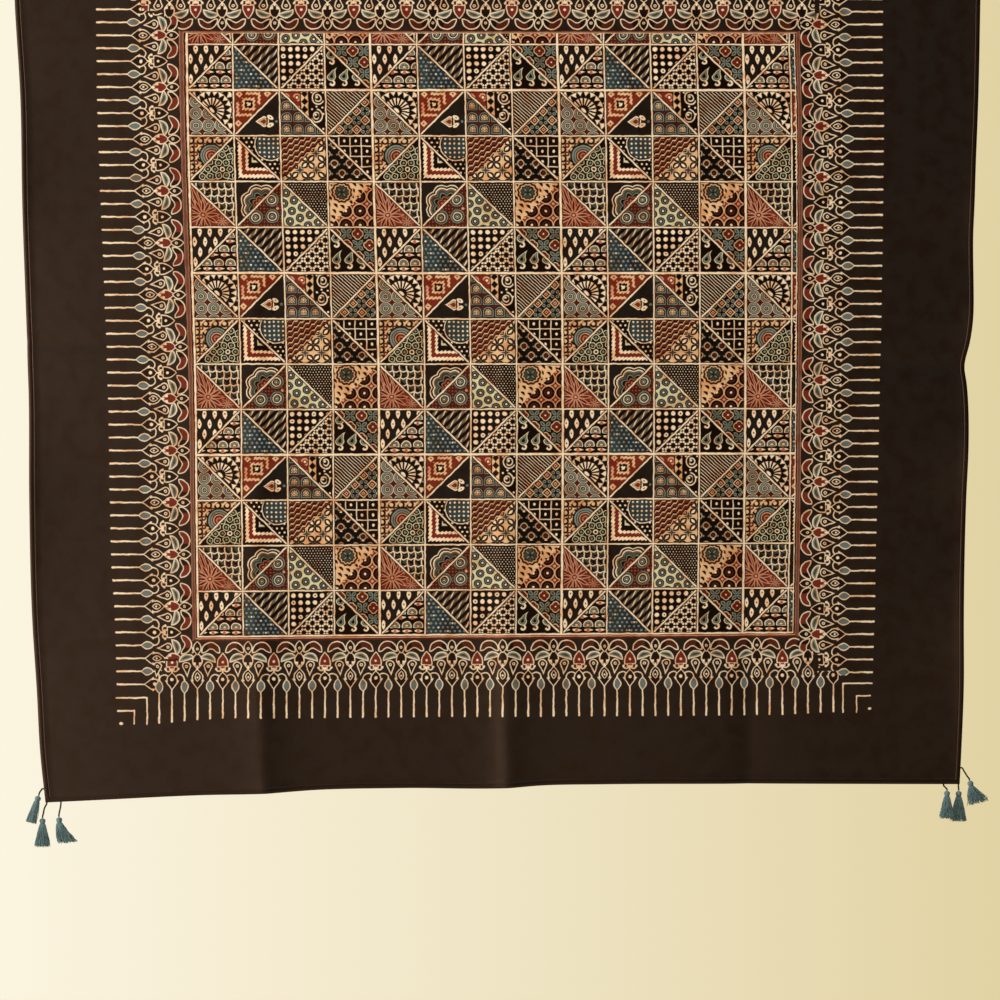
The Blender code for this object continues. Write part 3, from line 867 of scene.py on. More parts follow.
LEFT_MARKS = CornerMarks(
    outer_bend=(45.5, 55.3), outer_ends=(79.7, 79.5), inner_bend=(59.7, 67.3), inner_ends=(78.2, 79.1),
    spot=(74.2, 78.9), level_reach=37.7, side_reach=49.4, side_clear=31.0, level_clear=19.5)
RIGHT_MARKS = CornerMarks(
    outer_bend=(44.6, 46.6), outer_ends=(78.6, 79.5), inner_bend=(60.4, 60.8), inner_ends=(77.0, 79.5),
    spot=(76.3, 75.5), level_reach=40.0, side_reach=38.5, side_clear=20.0, level_clear=34.0)

# The heart's, the spade's and the crescent's colours in the side borders, and in the level ones.
SIDE_DYES = (Dye.MADDER, Dye.BLACK, Dye.MADDER)
LEVEL_DYES = (Dye.BLACK, Dye.MADDER, Dye.OXBLOOD)
# Width over which the border's edges bleed, in its block's units.
BORDER_BLEED = 0.8

# What prints a region, given the tree, two coordinates of the print and two more.
Block = Callable[[bpy.types.NodeTree, Field, Field, Field, Field], Painter]


@dataclass(frozen=True)
class CottonFinish:
    """Block-printed cotton: a plain weave, matt, with a little sheen where the light rakes it."""

    roughness: float = 0.47
    specular: float = 0.50
    printed_gloss: float = 0.5
    gloss_tint: str = "#ffcaa6"
    sheen: float = 0.0
    sheen_roughness: float = 0.4
    thread_pitch: float = 0.0011
    weave_height: float = 0.00004
    rumple_height: float = 0.0006
    wander: float = 0.0007
    hem_width: float = 0.0040

    def material(self, name: str, block: Block) -> bpy.types.Material:
        """Make the cloth's material for one printed region.

        The print's coordinates wander a little, as a hand-stamped block does. The weave is drawn
        about three times coarser than the real thread, so that it shows.

        Args:
            name: The material's name.
            block: Prints the region.

        Returns:
            The material.
        """
        material = bpy.data.materials.new(name)
        material.use_nodes = True
        tree = material.node_tree
        tree.nodes.clear()
        flat = add_node(tree, "ShaderNodeUVMap", {"uv_map": "flat"}, {}).outputs[0]
        wander = add_node(tree, "ShaderNodeTexNoise", {"noise_dimensions": "2D"},
                          {"Vector": flat, "Scale": 130.0, "Detail": 2.0, "Roughness": 0.6})
        coords = []
        for layer in ("print", "print_side"):
            place = add_node(tree, "ShaderNodeUVMap", {"uv_map": layer}, {}).outputs[0]
            scale = add_node(tree, "ShaderNodeAttribute", {"attribute_name": "block_scale"}, {}).outputs[2]
            shift = add_node(tree, "ShaderNodeVectorMath", {"operation": "SUBTRACT"},
                             {0: wander.outputs["Color"], 1: (0.5, 0.5, 0.5)}).outputs[0]
            sized = add_node(tree, "ShaderNodeVectorMath", {"operation": "SCALE"},
                             {0: shift, "Scale": scale}).outputs[0]
            moved = add_node(tree, "ShaderNodeVectorMath", {"operation": "MULTIPLY_ADD"},
                             {0: sized, 1: (self.wander * 2,) * 3, 2: place}).outputs[0]
            split = add_node(tree, "ShaderNodeSeparateXYZ", {}, {0: moved})
            coords += [Field(tree, split.outputs[0]), Field(tree, split.outputs[1])]
        painter = block(tree, *coords)
        gloss = self.specular * (self.printed_gloss if isinstance(block, PatchBlock) else 1.0)
        self.dress(tree, painter.colour, flat, gloss)
        return material

    def dress(self, tree: bpy.types.NodeTree, colour: object, flat: bpy.types.NodeSocket,
              gloss: float) -> None:
        """Wear the colour, weave the surface and close the tree with its shader.

        Args:
            tree: The material's nodes.
            colour: The printed colour, as a socket or a plain value.
            flat: The cloth's own coordinates in metres.
            gloss: The shader's specular level; printed black is duller than the dyed ground.
        """
        fibre = Field(tree, add_node(tree, "ShaderNodeTexNoise", {"noise_dimensions": "2D"},
                                     {"Vector": flat, "Scale": 900.0, "Detail": 2.0}).outputs[0])
        cloudy = Field(tree, add_node(tree, "ShaderNodeTexNoise", {"noise_dimensions": "2D"},
                                      {"Vector": flat, "Scale": 16.0, "Detail": 4.0, "Roughness": 0.65}).outputs[0])
        tone = fibre * 0.34 + cloudy * 0.20 + 0.73
        uneven = Field(tree, add_node(tree, "ShaderNodeTexNoise", {"noise_dimensions": "2D"},
                                      {"Vector": flat, "Scale": 55.0, "Detail": 2.0, "Roughness": 0.6}).outputs[0])
        share = uneven.above(0.56, 0.22)
        wash = add_node(tree, "ShaderNodeMix", {"data_type": "RGBA"},
                        {"Factor": share.socket, 6: linear("#fffaf4"), 7: linear("#eacdb8")}).outputs[2]
        washed = add_node(tree, "ShaderNodeMix", {"data_type": "RGBA", "blend_type": "MULTIPLY"},
                          {"Factor": 1.0, 6: colour, 7: wash}).outputs[2]
        worn = add_node(tree, "ShaderNodeMix", {"data_type": "RGBA", "blend_type": "MULTIPLY"},
                        {"Factor": 1.0, 6: washed, 7: tone.socket}).outputs[2]
        back = add_node(tree, "ShaderNodeAttribute", {"attribute_name": "wrong_side"}, {}).outputs[2]
        faded = Field(tree, back) * 0.55
        faint = add_node(tree, "ShaderNodeMix", {"data_type": "RGBA"},
                         {"Factor": faded.socket, 6: worn, 7: linear("#3a2a22")}).outputs[2]
        edge = Field(tree, add_node(tree, "ShaderNodeAttribute", {"attribute_name": "from_edge"}, {}).outputs[2])
        hem = edge.below(self.hem_width, 0.0006)
        final = add_node(tree, "ShaderNodeMix", {"data_type": "RGBA"},
                         {"Factor": hem.socket, 6: faint, 7: linear(Dye.HEM.value)}).outputs[2]
        split = add_node(tree, "ShaderNodeSeparateXYZ", {}, {0: flat})
        warp = (Field(tree, split.outputs[0]) * (TURN / self.thread_pitch)).math("SINE")
        weft = (Field(tree, split.outputs[1]) * (TURN / self.thread_pitch)).math("SINE")
        rumple = Field(tree, add_node(tree, "ShaderNodeTexNoise", {"noise_dimensions": "2D"},
                                      {"Vector": flat, "Scale": 11.0, "Detail": 3.0, "Roughness": 0.55}).outputs[0])
        stitch = abs(edge - self.hem_width - 0.0006).below(0.0005, 0.0006) * -0.0003
        height = warp * weft * self.weave_height + rumple * self.rumple_height + stitch
        bump = add_node(tree, "ShaderNodeBump", {}, {"Height": height.socket, "Distance": 1.0, "Strength": 1.0})
        shader = add_node(tree, "ShaderNodeBsdfPrincipled", {}, {
            "Base Color": final, "Roughness": self.roughness, "Normal": bump.outputs[0],
            "Specular IOR Level": gloss, "Specular Tint": linear(self.gloss_tint), "Sheen Weight": self.sheen,
            "Sheen Roughness": self.sheen_roughness, "Sheen Tint": linear("#e8c8a8")})
        add_node(tree, "ShaderNodeOutputMaterial", {}, {"Surface": shader.outputs[0]})


@dataclass(frozen=True)
class PatchBlock:
    """Prints one triangle of one cell: its patch, the cell's sides and its diagonal."""

    cell: Cell
    upper: bool
    column: int
    row: int
    line_width: float = 0.028
    slant_width: float = 0.030
    dark_edge: float = 0.020
    block_line_width: float = 0.046

    def __call__(self, tree: bpy.types.NodeTree, x: Field, y: Field, _s: Field, _t: Field) -> Painter:
        """Print the patch.

        Args:
            tree: The material's nodes.
            x: Across the cell.
            y: Down the cell.

        Returns:
            The painter, with all its colours laid.
        """
        ground = self.cell.upper_ground if self.upper else self.cell.lower_ground
        block = self.cell.upper if self.upper else self.cell.lower
        painter = Painter(tree, ground, 0.016)
        block(PatchPrint(painter, x, y))
        if self.cell.has_line:
            slope = (x - y) if self.cell.falls else (x + y - 1.0)
            painter.fill(abs(slope * SLANT), Dye.BLACK, self.slant_width / 2 + self.dark_edge)
            painter.fill(abs(slope * SLANT), Dye.CREAM, self.slant_width / 2)
        left = self.block_line_width if self.column == 0 else self.line_width
        top = self.block_line_width if self.row == 0 else self.line_width
        right = self.block_line_width if self.column == CELLS_EACH_WAY - 1 else self.line_width
        bottom = self.block_line_width if self.row == CELLS_EACH_WAY - 1 else self.line_width
        sides = (x - left / 2).least(y - top / 2)
        far_sides = (x * -1.0 + (1 - right / 2)).least(y * -1.0 + (1 - bottom / 2))
        painter.fill(sides.least(far_sides), Dye.BLACK, self.dark_edge)
        painter.fill(sides.least(far_sides), Dye.CREAM)
        return painter


@dataclass(frozen=True)
class BorderBlock:
    """Prints a stretch of a border and the plain band outside it."""

    dyes: tuple[Dye, Dye, Dye]

    def __call__(self, tree: bpy.types.NodeTree, s: Field, t: Field, _x: Field, _y: Field) -> Painter:
        """Print the border.

        Args:
            tree: The material's nodes.
            s: Along the border.
            t: Outwards from the frame.

        Returns:
            The painter, with all its colours laid.
        """
        painter = Painter(tree, Dye.GROUND, BORDER_BLEED)
        BorderPrint(painter, *self.dyes).motifs(s, t)
        return painter


def bent_stroke(across: Field, down: Field, bend: tuple, ends: tuple) -> Field:
    """A right-angled stroke from a bend outward along both directions.

    Args:
        across: Outwards from the side frame.
        down: Outwards from the frame above or below.
        bend: Where the two arms meet.
        ends: How far each arm reaches.

    Returns:
        The distance from the stroke.
    """
    level = length((across - (bend[0] + ends[0]) / 2).math("ABSOLUTE").math("SUBTRACT", (ends[0] - bend[0]) / 2)
                   .math("MAXIMUM", 0.0), down - bend[1])
    upright = length(across - bend[0], (down - (bend[1] + ends[1]) / 2).math("ABSOLUTE")
                     .math("SUBTRACT", (ends[1] - bend[1]) / 2).math("MAXIMUM", 0.0))
    return level.least(upright)


@dataclass(frozen=True)
class CornerBlock:
    """Prints a corner: the ends of both rows of motifs, laid over each other, and the corner marks."""

    marks: CornerMarks
    # How far out a row begins to be hidden by the other one, in units from the other one's frame.
    side_foot: float = 17.4
    crossing: float = 31.0
    level_foot: float = 14.7
    frame_clear: float = 1.0
    crescent_top: float = 12.5
    # Width over which a row is cut off, and the shift that takes what is cut off out of its block.
    cut: float = 0.1
    hidden: float = 400.0

    def __call__(self, tree: bpy.types.NodeTree, s: Field, t: Field, side_s: Field, side_t: Field) -> Painter:
        """Print the corner.

        Args:
            tree: The material's nodes.
            s: Along the bottom or top.
            t: Outwards from the frame there.
            side_s: Along the side.
            side_t: Outwards from the side's frame.

        Returns:
            The painter, with all its colours laid.
        """
        marks, cut = self.marks, self.cut
        painter = Painter(tree, Dye.GROUND, BORDER_BLEED)
        beside = BorderPrint(painter, *SIDE_DYES)
        border = BorderPrint(painter, *LEVEL_DYES)
        near_side = t.above(self.side_foot, cut).least(side_t.below(marks.side_clear, cut))
        crossed = t.above(self.crossing, cut).least(side_t.below(self.crossing, cut))
        past_side = t.above(marks.side_reach, cut).most(near_side.most(crossed)) * self.hidden
        beside.motifs(side_s, side_t + past_side)
        near = side_t.above(self.level_foot, cut).least(t.below(marks.level_clear, cut))
        nearest = side_t.above(self.frame_clear, cut).least(t.below(self.crescent_top, cut))
        past = side_t.above(marks.level_reach, cut).most(near).most(nearest) * self.hidden
        border.motifs(s, t + past)
        outer = bent_stroke(side_t, t, marks.outer_bend, marks.outer_ends)
        inner = bent_stroke(side_t, t, marks.inner_bend, marks.inner_ends)
        painter.fill(outer.least(inner), Dye.CREAM, border.stem_width / 2)
        painter.fill(length((side_t - marks.spot[0]) * 0.7, t - marks.spot[1]), Dye.CREAM, 1.4)
        return painter


def frame_block(tree: bpy.types.NodeTree, across: Field, down: Field, _x: Field, _y: Field) -> Painter:
    """Print the frame: the last cell line, a mauve band and a pale outer line.

    Args:
        tree: The material's nodes.
        across: Outwards from the cells at the left or right, 1 at the outer line.
        down: The same at the top or bottom.

    Returns:
        The painter, with all its colours laid.
    """
    painter = Painter(tree, Dye.BLACK, 0.10)
    out = across.most(down)
    level = (down - across).above(0.0, 0.02)
    band = abs(out - 0.66).below(0.30, 0.08)
    painter.lay(band, Dye.MAUVE)
    painter.lay(band.least(level), Dye.OXBLOOD)
    painter.line(out, Dye.BLUSH, 0.10, 0.42)
    painter.lay(abs(out - 0.42).below(0.10, 0.08).least(level), Dye.PINK)
    painter.lay(abs(out - 0.93).below(0.05, 0.08).least(level * -1.0 + 1.0), Dye.BLUSH)
    painter.fill(out, Dye.CREAM, 0.12)
    return painter


@dataclass(frozen=True)
class ClothShape:
    """The cloth's outline and folds, with the sizes and formulas of its solid."""

    edges: tuple = ((0.000, -0.5070, 0.5050), (0.152, -0.5040, 0.5030), (0.257, -0.4977, 0.5008),
                    (0.385, -0.4951, 0.4956), (0.509, -0.4909, 0.4920), (0.535, -0.4901, 0.4867),
                    (0.552, -0.4894, 0.4888), (0.674, -0.4878, 0.4878), (0.807, -0.4847, 0.4847),
                    (0.873, -0.4805, 0.4852), (0.940, -0.4768, 0.4831), (0.989, -0.4716, 0.4806))
    hems: tuple = ((0.00, 0.9891), (0.05, 0.9868), (0.17, 0.9814), (0.24, 0.9797), (0.30, 0.9761),
                   (0.39, 0.9745), (0.51, 0.9740), (0.54, 0.9718), (0.61, 0.9703), (0.77, 0.9696),
                   (1.00, 0.9703))
    creases: tuple = ((0.243, 0.0064, 0.038, 0.019), (0.507, 0.0058, 0.015, 0.023),
                      (0.768, -0.0054, 0.018, 0.055))
    crease_start: float = 0.10
    crease_full: float = 0.95
    cross_left: float = 0.509
    cross_right: float = 0.535
    cross_forward: float = -0.0022
    cross_reach: float = 0.008
    waves: tuple = ((1.0, 0.366, 0.034, 0.0040, 0.030), (1.0, 0.486, 0.024, 0.0040, 0.026),
                    (1.0, 0.637, 0.044, 0.0065, 0.034), (1.0, 0.810, 0.080, 0.0080, 0.038),
                    (0.0, 0.330, 0.070, 0.0030, 0.030), (0.0, 0.690, 0.100, 0.0045, 0.036))
    swell: float = 0.0030
    swell_waves: float = 1.5
    swell_phase: float = 0.6
    half_hem: float = 0.0012

    def side_x(self, u: np.ndarray, drop: np.ndarray) -> np.ndarray:
        """World x at a share u of the width, between the two side edges at that drop."""
        drops, lefts, rights = zip(*self.edges)
        left = smooth_line(drop, drops, lefts)
        return left + (smooth_line(drop, drops, rights) - left) * u

    def hem_drop(self, u: np.ndarray) -> np.ndarray:
        """Drop of the bottom hem at a share u of the width."""
        return smooth_line(u, *zip(*self.hems))

    def forward(self, u: np.ndarray, drop: np.ndarray) -> np.ndarray:
        """How far the cloth stands forward.

        It is a sine swell across the width, plus for each crease a height that falls off evenly in
        logarithm each side, plus the fold across the middle, plus the waves of the side edges, each
        a bell along the edge that falls off inwards.

        Args:
            u: Share of the width.
            drop: Drop below the top edge.

        Returns:
            The distance forward of the plane in which the top edge hangs.
        """
        t = np.clip((drop - self.crease_start) / (self.crease_full - self.crease_start), 0, 1)
        growth = t * t * (3 - 2 * t)
        out = growth * self.swell * np.sin(TURN * self.swell_waves * u + self.swell_phase)
        for at, ahead, left_reach, right_reach in self.creases:
            reach = np.where(u < at, left_reach, right_reach)
            out = out + growth * ahead * np.exp(-np.abs(u - at) / reach)
        fold = self.cross_left + (self.cross_right - self.cross_left) * u
        out = out + self.cross_forward * np.exp(-np.abs(drop - fold) / self.cross_reach)
        for at, level, half, ahead, reach in self.waves:
            out = out + ahead * np.exp(-((drop - level) / half) ** 2) * np.exp(-np.abs(u - at) / reach)
        return out


def smooth_line(at: np.ndarray, stops: tuple, values: tuple) -> np.ndarray:
    """Cubic curve through a table's points, with each slope taken from the points beside it.

    Args:
        at: Where it is read.
        stops: The table's places, rising.
        values: The table's values.

    Returns:
        The curve's values.
    """
    stops = np.asarray(stops, dtype=float)
    values = np.asarray(values, dtype=float)
    slopes = np.gradient(values, stops)
    at = np.clip(np.asarray(at, dtype=float), stops[0], stops[-1])
    row = np.clip(np.searchsorted(stops, at) - 1, 0, len(stops) - 2)
    width = stops[row + 1] - stops[row]
    t = (at - stops[row]) / width
    start = (1 + 2 * t) * (1 - t) ** 2 * values[row] + t * (1 - t) ** 2 * width * slopes[row]
    end = t ** 2 * (3 - 2 * t) * values[row + 1] + t ** 2 * (t - 1) * width * slopes[row + 1]
    return start + end


@dataclass(frozen=True)
class PrintLayout:
    """Where the printed lines lie on the cloth, in metres."""

    # The first, fifth, ninth and last upright lines of the cells, at each drop.
    column_drops: tuple = (0.1993, 0.2671, 0.3652, 0.4601, 0.5551, 0.6740, 0.8159)
    column_x: tuple = ((-0.3247, -0.3239, -0.3214, -0.3184, -0.3157, -0.3145, -0.3127),
                       (-0.1336, -0.1315, -0.1291, -0.1262, -0.1245, -0.1241, -0.1233),
                       (0.0616, 0.0636, 0.0653, 0.0668, 0.0676, 0.0674, 0.0660),
                       (0.3039, 0.3060, 0.3067, 0.3065, 0.3057, 0.3045, 0.3024))
    column_numbers: tuple = (0, 4, 8, 13)
    # The first, seventh and last level lines of the cells, at the left and at the right.
    row_left: tuple = (0.1986, 0.4849, 0.8168)
    row_right: tuple = (0.1989, 0.4851, 0.8125)
    row_numbers: tuple = (0, 6, 13)
    columns: int = 13
    rows: int = 13
    part_column: float = 0.0047
    part_row: float = 0.0115
    frame_left_drops: tuple = (0.21, 0.82)
    frame_left_widths: tuple = (0.0083, 0.0055)
    frame_right: float = 0.0062
    frame_top: float = 0.0030
    frame_bottom: float = 0.0046
    repeat_bottom: float = 0.05304
    repeat_left: float = 0.05415
    repeat_right: float = 0.05300
    repeat_top: float = 0.05499
    lotus_bottom: float = -0.31323
    lotus_left: float = 0.8390
    lotus_right: float = 0.8139
    lotus_top: float = -0.28790
    # One of the border block's units, where a repeat is 50.8 of them.
    unit: float = 0.0010434
    block_repeat: float = 50.8
    # A cell's and the frame's usual width, which turn the print's wander to their blocks' units.
    cell_width: float = 0.0475
    frame_width: float = 0.006
    stem_start: float = 47.0
    stem_end: float = 79.0
    # Where the stems end, in units outwards from the frame: by drop at the sides, by x at the bottom.
    side_end_drops: tuple = (0.16, 0.73, 0.80, 0.87)
    left_ends: tuple = (82.5, 80.0, 77.2, 75.6)
    right_ends: tuple = (83.0, 75.9, 75.9, 73.6)
    bottom_end_x: tuple = (-0.353, -0.311, -0.285, -0.200, 0.294, 0.348)
    bottom_ends: tuple = (81.6, 78.2, 76.6, 77.6, 77.5, 75.0)
    top_end: float = 80.0

    def frame_left(self, drop: np.ndarray) -> np.ndarray:
        """Width of the frame at the left, which narrows downwards."""
        return np.interp(drop, self.frame_left_drops, self.frame_left_widths)

    def column(self, number: np.ndarray, drop: np.ndarray) -> np.ndarray:
        """World x of an upright cell line by its number, which may lie between two lines."""
        knots = [smooth_line(drop, self.column_drops, xs) for xs in self.column_x]
        place = np.zeros_like(drop * number)
        for first in range(len(self.column_numbers) - 1):
            low, high = self.column_numbers[first], self.column_numbers[first + 1]
            share = np.clip((number - low) / (high - low), 0, 1)
            base = knots[0] if first == 0 else 0.0
            place = place + base + share * (knots[first + 1] - knots[first])
        return place

    def row(self, number: np.ndarray, x: np.ndarray) -> np.ndarray:
        """Drop of a level cell line by its number, at a world x."""
        left = np.interp(number, self.row_numbers, self.row_left)
        right = np.interp(number, self.row_numbers, self.row_right)
        share = (x - self.column_x[0][0]) / (self.column_x[3][0] - self.column_x[0][0])
        return left + (right - left) * share

    def stem_scale(self, t: np.ndarray, reach: np.ndarray) -> np.ndarray:
        """Stretch the block's stems so that they end at the print's own reach.

        Args:
            t: Units outwards from the frame.
            reach: Units at which the stems end on this cloth.

        Returns:
            The block's own t.
        """
        share = (self.stem_end - self.stem_start) / (reach - self.stem_start)
        return np.where(t < self.stem_start, t, self.stem_start + (t - self.stem_start) * share)


@dataclass
class Cloth:
    """The cloth as one closed mesh: a front and a back laid on the folds, joined by a rounded rim."""

    shape: ClothShape
    layout: PrintLayout
    finish: CottonFinish
    border_steps: int = 26
    cell_steps: int = 8
    hem_insets: tuple = (0.0, 0.0006, 0.0016, 0.0036, 0.0056)
    border_depth: float = 0.165
    rim_bulge: float = 0.0004
    flat: tuple = (1.01, 0.98)

    def build(self) -> bpy.types.Object:
        """Build the cloth.

        Returns:
            The cloth's object, with its materials.
        """
        grid = ClothGrid(self.shape, self.layout, self)
        return grid.to_object("cloth_printed", self.materials())

    def materials(self) -> list:
        """Make the materials: frame, border, corners, then each patch by row, column and triangle.

        Returns:
            The materials, in the order of the mesh's material numbers.
        """
        blocks = (("frame_print", frame_block), ("border_print", BorderBlock(SIDE_DYES)),
                  ("level_border_print", BorderBlock(LEVEL_DYES)),
                  ("left_corner_print", CornerBlock(LEFT_MARKS)),
                  ("right_corner_print", CornerBlock(RIGHT_MARKS)))
        out = [self.finish.material(name, block) for name, block in blocks]
        for row, cells in enumerate(CELLS):
            for column, cell in enumerate(cells):
                for upper in (True, False):
                    block = PatchBlock(cell, upper, column, row)
                    design = cell.upper if upper else cell.lower
                    out.append(self.finish.material(design.__name__ + "_print", block))
        return out


FRAME_NUMBER = 0
BORDER_NUMBER = 1
LEVEL_BORDER_NUMBER = 2
LEFT_CORNER_NUMBER = 3
RIGHT_CORNER_NUMBER = 4
FIRST_PATCH_NUMBER = 5
FIRST_ROW = 3


class Strip(IntEnum):
    """The strips of the cloth across or down, from the left or the top."""

    NEAR_BORDER = 0
    NEAR_FRAME = 1
    NEAR_PART = 2
    CELLS = 3
    FAR_PART = 4
    FAR_FRAME = 5
    FAR_BORDER = 6


BORDERS = (Strip.NEAR_BORDER, Strip.FAR_BORDER)


def strip_kind(kinds: np.ndarray) -> np.ndarray:
    """The strip between each two lines: the first line's before the cells, or else the second's."""
    return np.where(kinds[:-1] < Strip.CELLS, kinds[:-1], kinds[1:])


def frame_share(kinds: np.ndarray, shares: np.ndarray) -> np.ndarray:
    """How far out over the frame each line lies: 0 at the cells, 1 at the border."""
    lines = (kinds == Strip.NEAR_FRAME, kinds == Strip.FAR_FRAME, np.isin(kinds, BORDERS))
    return np.select(lines, (1 - shares, shares, np.ones_like(shares)), 0.0)


@dataclass
class ClothGrid:
    """The cloth's grid of points, with what is printed on each of its faces."""

    shape: ClothShape
    layout: PrintLayout
    cloth: Cloth
    near_line: float = 0.02

    def __post_init__(self) -> None:
        """Work out the lines and where they cross."""
        steps = self.cloth.border_steps
        side = np.linspace(0, 1, steps + 1)
        hem = np.array(self.cloth.hem_insets) / self.cloth.border_depth
        border = np.concatenate((hem, side[2:]))
        cells = np.arange(0, self.layout.columns * self.cloth.cell_steps + 1) / self.cloth.cell_steps
        frame = np.array((0.0, 0.5, 1.0))
        self.column_kind, self.column_share = self.join(border, frame, cells, True)
        rows = np.arange(0, self.layout.rows * self.cloth.cell_steps + 1) / self.cloth.cell_steps
        self.row_kind, self.row_share = self.join(border, frame, rows, False)
        self.cross()

    def join(self, border: np.ndarray, frame: np.ndarray, cells: np.ndarray, across: bool) -> tuple:
        """String the lines of one direction together.

        Each line has the strip that it lies in and its share of that strip. Over the cells the
        share is the cell line's number.

        Args:
            border: Shares of the border, 0 at the cloth's edge.
            frame: Shares of the frame.
            cells: Cell line numbers.
            across: Whether the lines are upright ones, which have their part cell at the far side.

        Returns:
            The strips and the shares.
        """
        near_part = np.zeros(0) if across else np.array((0.0, 0.5))
        far_part = np.array((0.5, 1.0)) if across else np.zeros(0)
        shares = (border[:-1], frame[:-1], near_part, cells, far_part, frame[1:], 1 - border[::-1][1:])
        kinds = [np.full(len(part), int(strip)) for strip, part in zip(Strip, shares)]
        return np.concatenate(kinds), np.concatenate(shares)

    def column_x(self, drop: np.ndarray) -> np.ndarray:
        """World x of every upright line, at the drops of its points.

        Args:
            drop: Rows by columns.

        Returns:
            The same shape in world x.
        """
        lay = self.layout
        kind, share = self.column_kind[None, :], self.column_share[None, :]
        first = lay.column(0.0, drop)
        last = lay.column(float(lay.columns), drop)
        left = self.shape.side_x(0.0, drop)
        right = self.shape.side_x(1.0, drop)
        outer = first - lay.frame_left(drop)
        part = last + lay.part_column
        far_frame = part + lay.frame_right
        stops = {Strip.NEAR_BORDER: (left, outer), Strip.NEAR_FRAME: (outer, first),
                 Strip.NEAR_PART: (first, first), Strip.FAR_PART: (last, part),
                 Strip.FAR_FRAME: (part, far_frame), Strip.FAR_BORDER: (far_frame, right)}
        out = lay.column(np.where(kind == Strip.CELLS, share, 0.0), drop)
        for number, (start, end) in stops.items():
            out = np.where(kind == number, start + (end - start) * share, out)
        return out

    def row_drop(self, x: np.ndarray, u: np.ndarray) -> np.ndarray:
        """Drop of every level line, at the places of its points.

        Args:
            x: World x, rows by columns.
            u: Share of the width, likewise.

        Returns:
            The same shape in drop.
        """
        lay = self.layout
        kind, share = self.row_kind[:, None], self.row_share[:, None]
        first = lay.row(0.0, x)
        last = lay.row(float(lay.rows), x)
        top = first - lay.part_row
        hem = self.shape.hem_drop(u)
        near_frame, far_frame = top - lay.frame_top, last + lay.frame_bottom
        stops = {Strip.NEAR_BORDER: (0.0 * x, near_frame), Strip.NEAR_FRAME: (near_frame, top),
                 Strip.NEAR_PART: (top, first), Strip.FAR_PART: (last, last),
                 Strip.FAR_FRAME: (last, far_frame), Strip.FAR_BORDER: (far_frame, hem)}
        out = lay.row(np.where(kind == Strip.CELLS, share, 0.0), x)
        for number, (start, end) in stops.items():
            out = np.where(kind == number, start + (end - start) * share, out)
        return out

    def cross(self) -> None:
        """Find where the upright and level lines cross, by settling x and drop in turn."""
        rows, columns = len(self.row_kind), len(self.column_kind)
        drop = np.repeat(np.linspace(0, 0.97, rows)[:, None], columns, axis=1)
        x = self.column_x(drop)
        for _ in range(6):
            left, right = self.shape.side_x(0.0, drop), self.shape.side_x(1.0, drop)
            u = np.clip((x - left) / (right - left), 0, 1)
            drop = self.row_drop(x, u)
            x = self.column_x(drop)
        left, right = self.shape.side_x(0.0, drop), self.shape.side_x(1.0, drop)
        self.u = np.clip((x - left) / (right - left), 0, 1)
        self.x, self.drop = x, drop

    def sides(self) -> tuple:
        """The front's and the back's points, either side of the folds by half of the thickness.

        Returns:
            The front's and back's points, and each point's distance from the nearest edge.
        """
        y = -self.shape.forward(self.u, self.drop)
        width = self.shape.side_x(1.0, self.drop) - self.shape.side_x(0.0, self.drop)
        inset = np.minimum(np.minimum(self.u, 1 - self.u) * width,
                           np.minimum(self.drop, self.shape.hem_drop(self.u) - self.drop))
        thick = np.interp(inset, (0.0, 0.0006, 0.0016, 0.0036, 0.0042, 0.0050),
                          (0.45, 0.85, 1.0, 0.95, 0.6, 0.5)) * self.shape.half_hem
        middle = np.stack((self.x, y, -self.drop), axis=-1)
        lean_x = np.gradient(y, axis=1) / np.gradient(self.x, axis=1)
        lean_z = np.gradient(y, axis=0) / np.gradient(-self.drop, axis=0)
        normal = np.stack((lean_x, -np.ones_like(y), lean_z), axis=-1)
        normal /= np.linalg.norm(normal, axis=-1, keepdims=True)
        return middle + normal * thick[..., None], middle - normal * thick[..., None], inset

    def print_place(self) -> tuple:
        """The print's coordinates at each point, for the sides' rows and for the top and bottom rows.

        Returns:
            Side s and t, then bottom or top s and t, each rows by columns.
        """
        lay = self.layout
        first, last = lay.column(0.0, self.drop), lay.column(float(lay.columns), self.drop)
        out_left = (first - lay.frame_left(self.drop)) - self.x
        out_right = self.x - (last + lay.part_column + lay.frame_right)
        left_side = self.column_kind[None, :] < Strip.CELLS
        reach = np.where(left_side, np.interp(self.drop, lay.side_end_drops, lay.left_ends),
                         np.interp(self.drop, lay.side_end_drops, lay.right_ends))
        side_t = lay.stem_scale(np.where(left_side, out_left, out_right) / lay.unit, reach)
        lotus = np.where(left_side, lay.lotus_left, lay.lotus_right)
        repeat = np.where(left_side, lay.repeat_left, lay.repeat_right)
        side_s = (self.drop - lotus) / repeat * lay.block_repeat
        top_half = self.row_kind[:, None] < Strip.CELLS
        out_top = lay.row(0.0, self.x) - lay.part_row - lay.frame_top - self.drop
        out_bottom = self.drop - lay.row(float(lay.rows), self.x) - lay.frame_bottom
        level_reach = np.where(top_half, lay.top_end, np.interp(self.x, lay.bottom_end_x, lay.bottom_ends))
        level_t = lay.stem_scale(np.where(top_half, out_top, out_bottom) / lay.unit, level_reach)
        level_lotus = np.where(top_half, lay.lotus_top, lay.lotus_bottom)
        level_repeat = np.where(top_half, lay.repeat_top, lay.repeat_bottom)
        level_s = (self.x - level_lotus) / level_repeat * lay.block_repeat
        return side_s, side_t, level_s, level_t

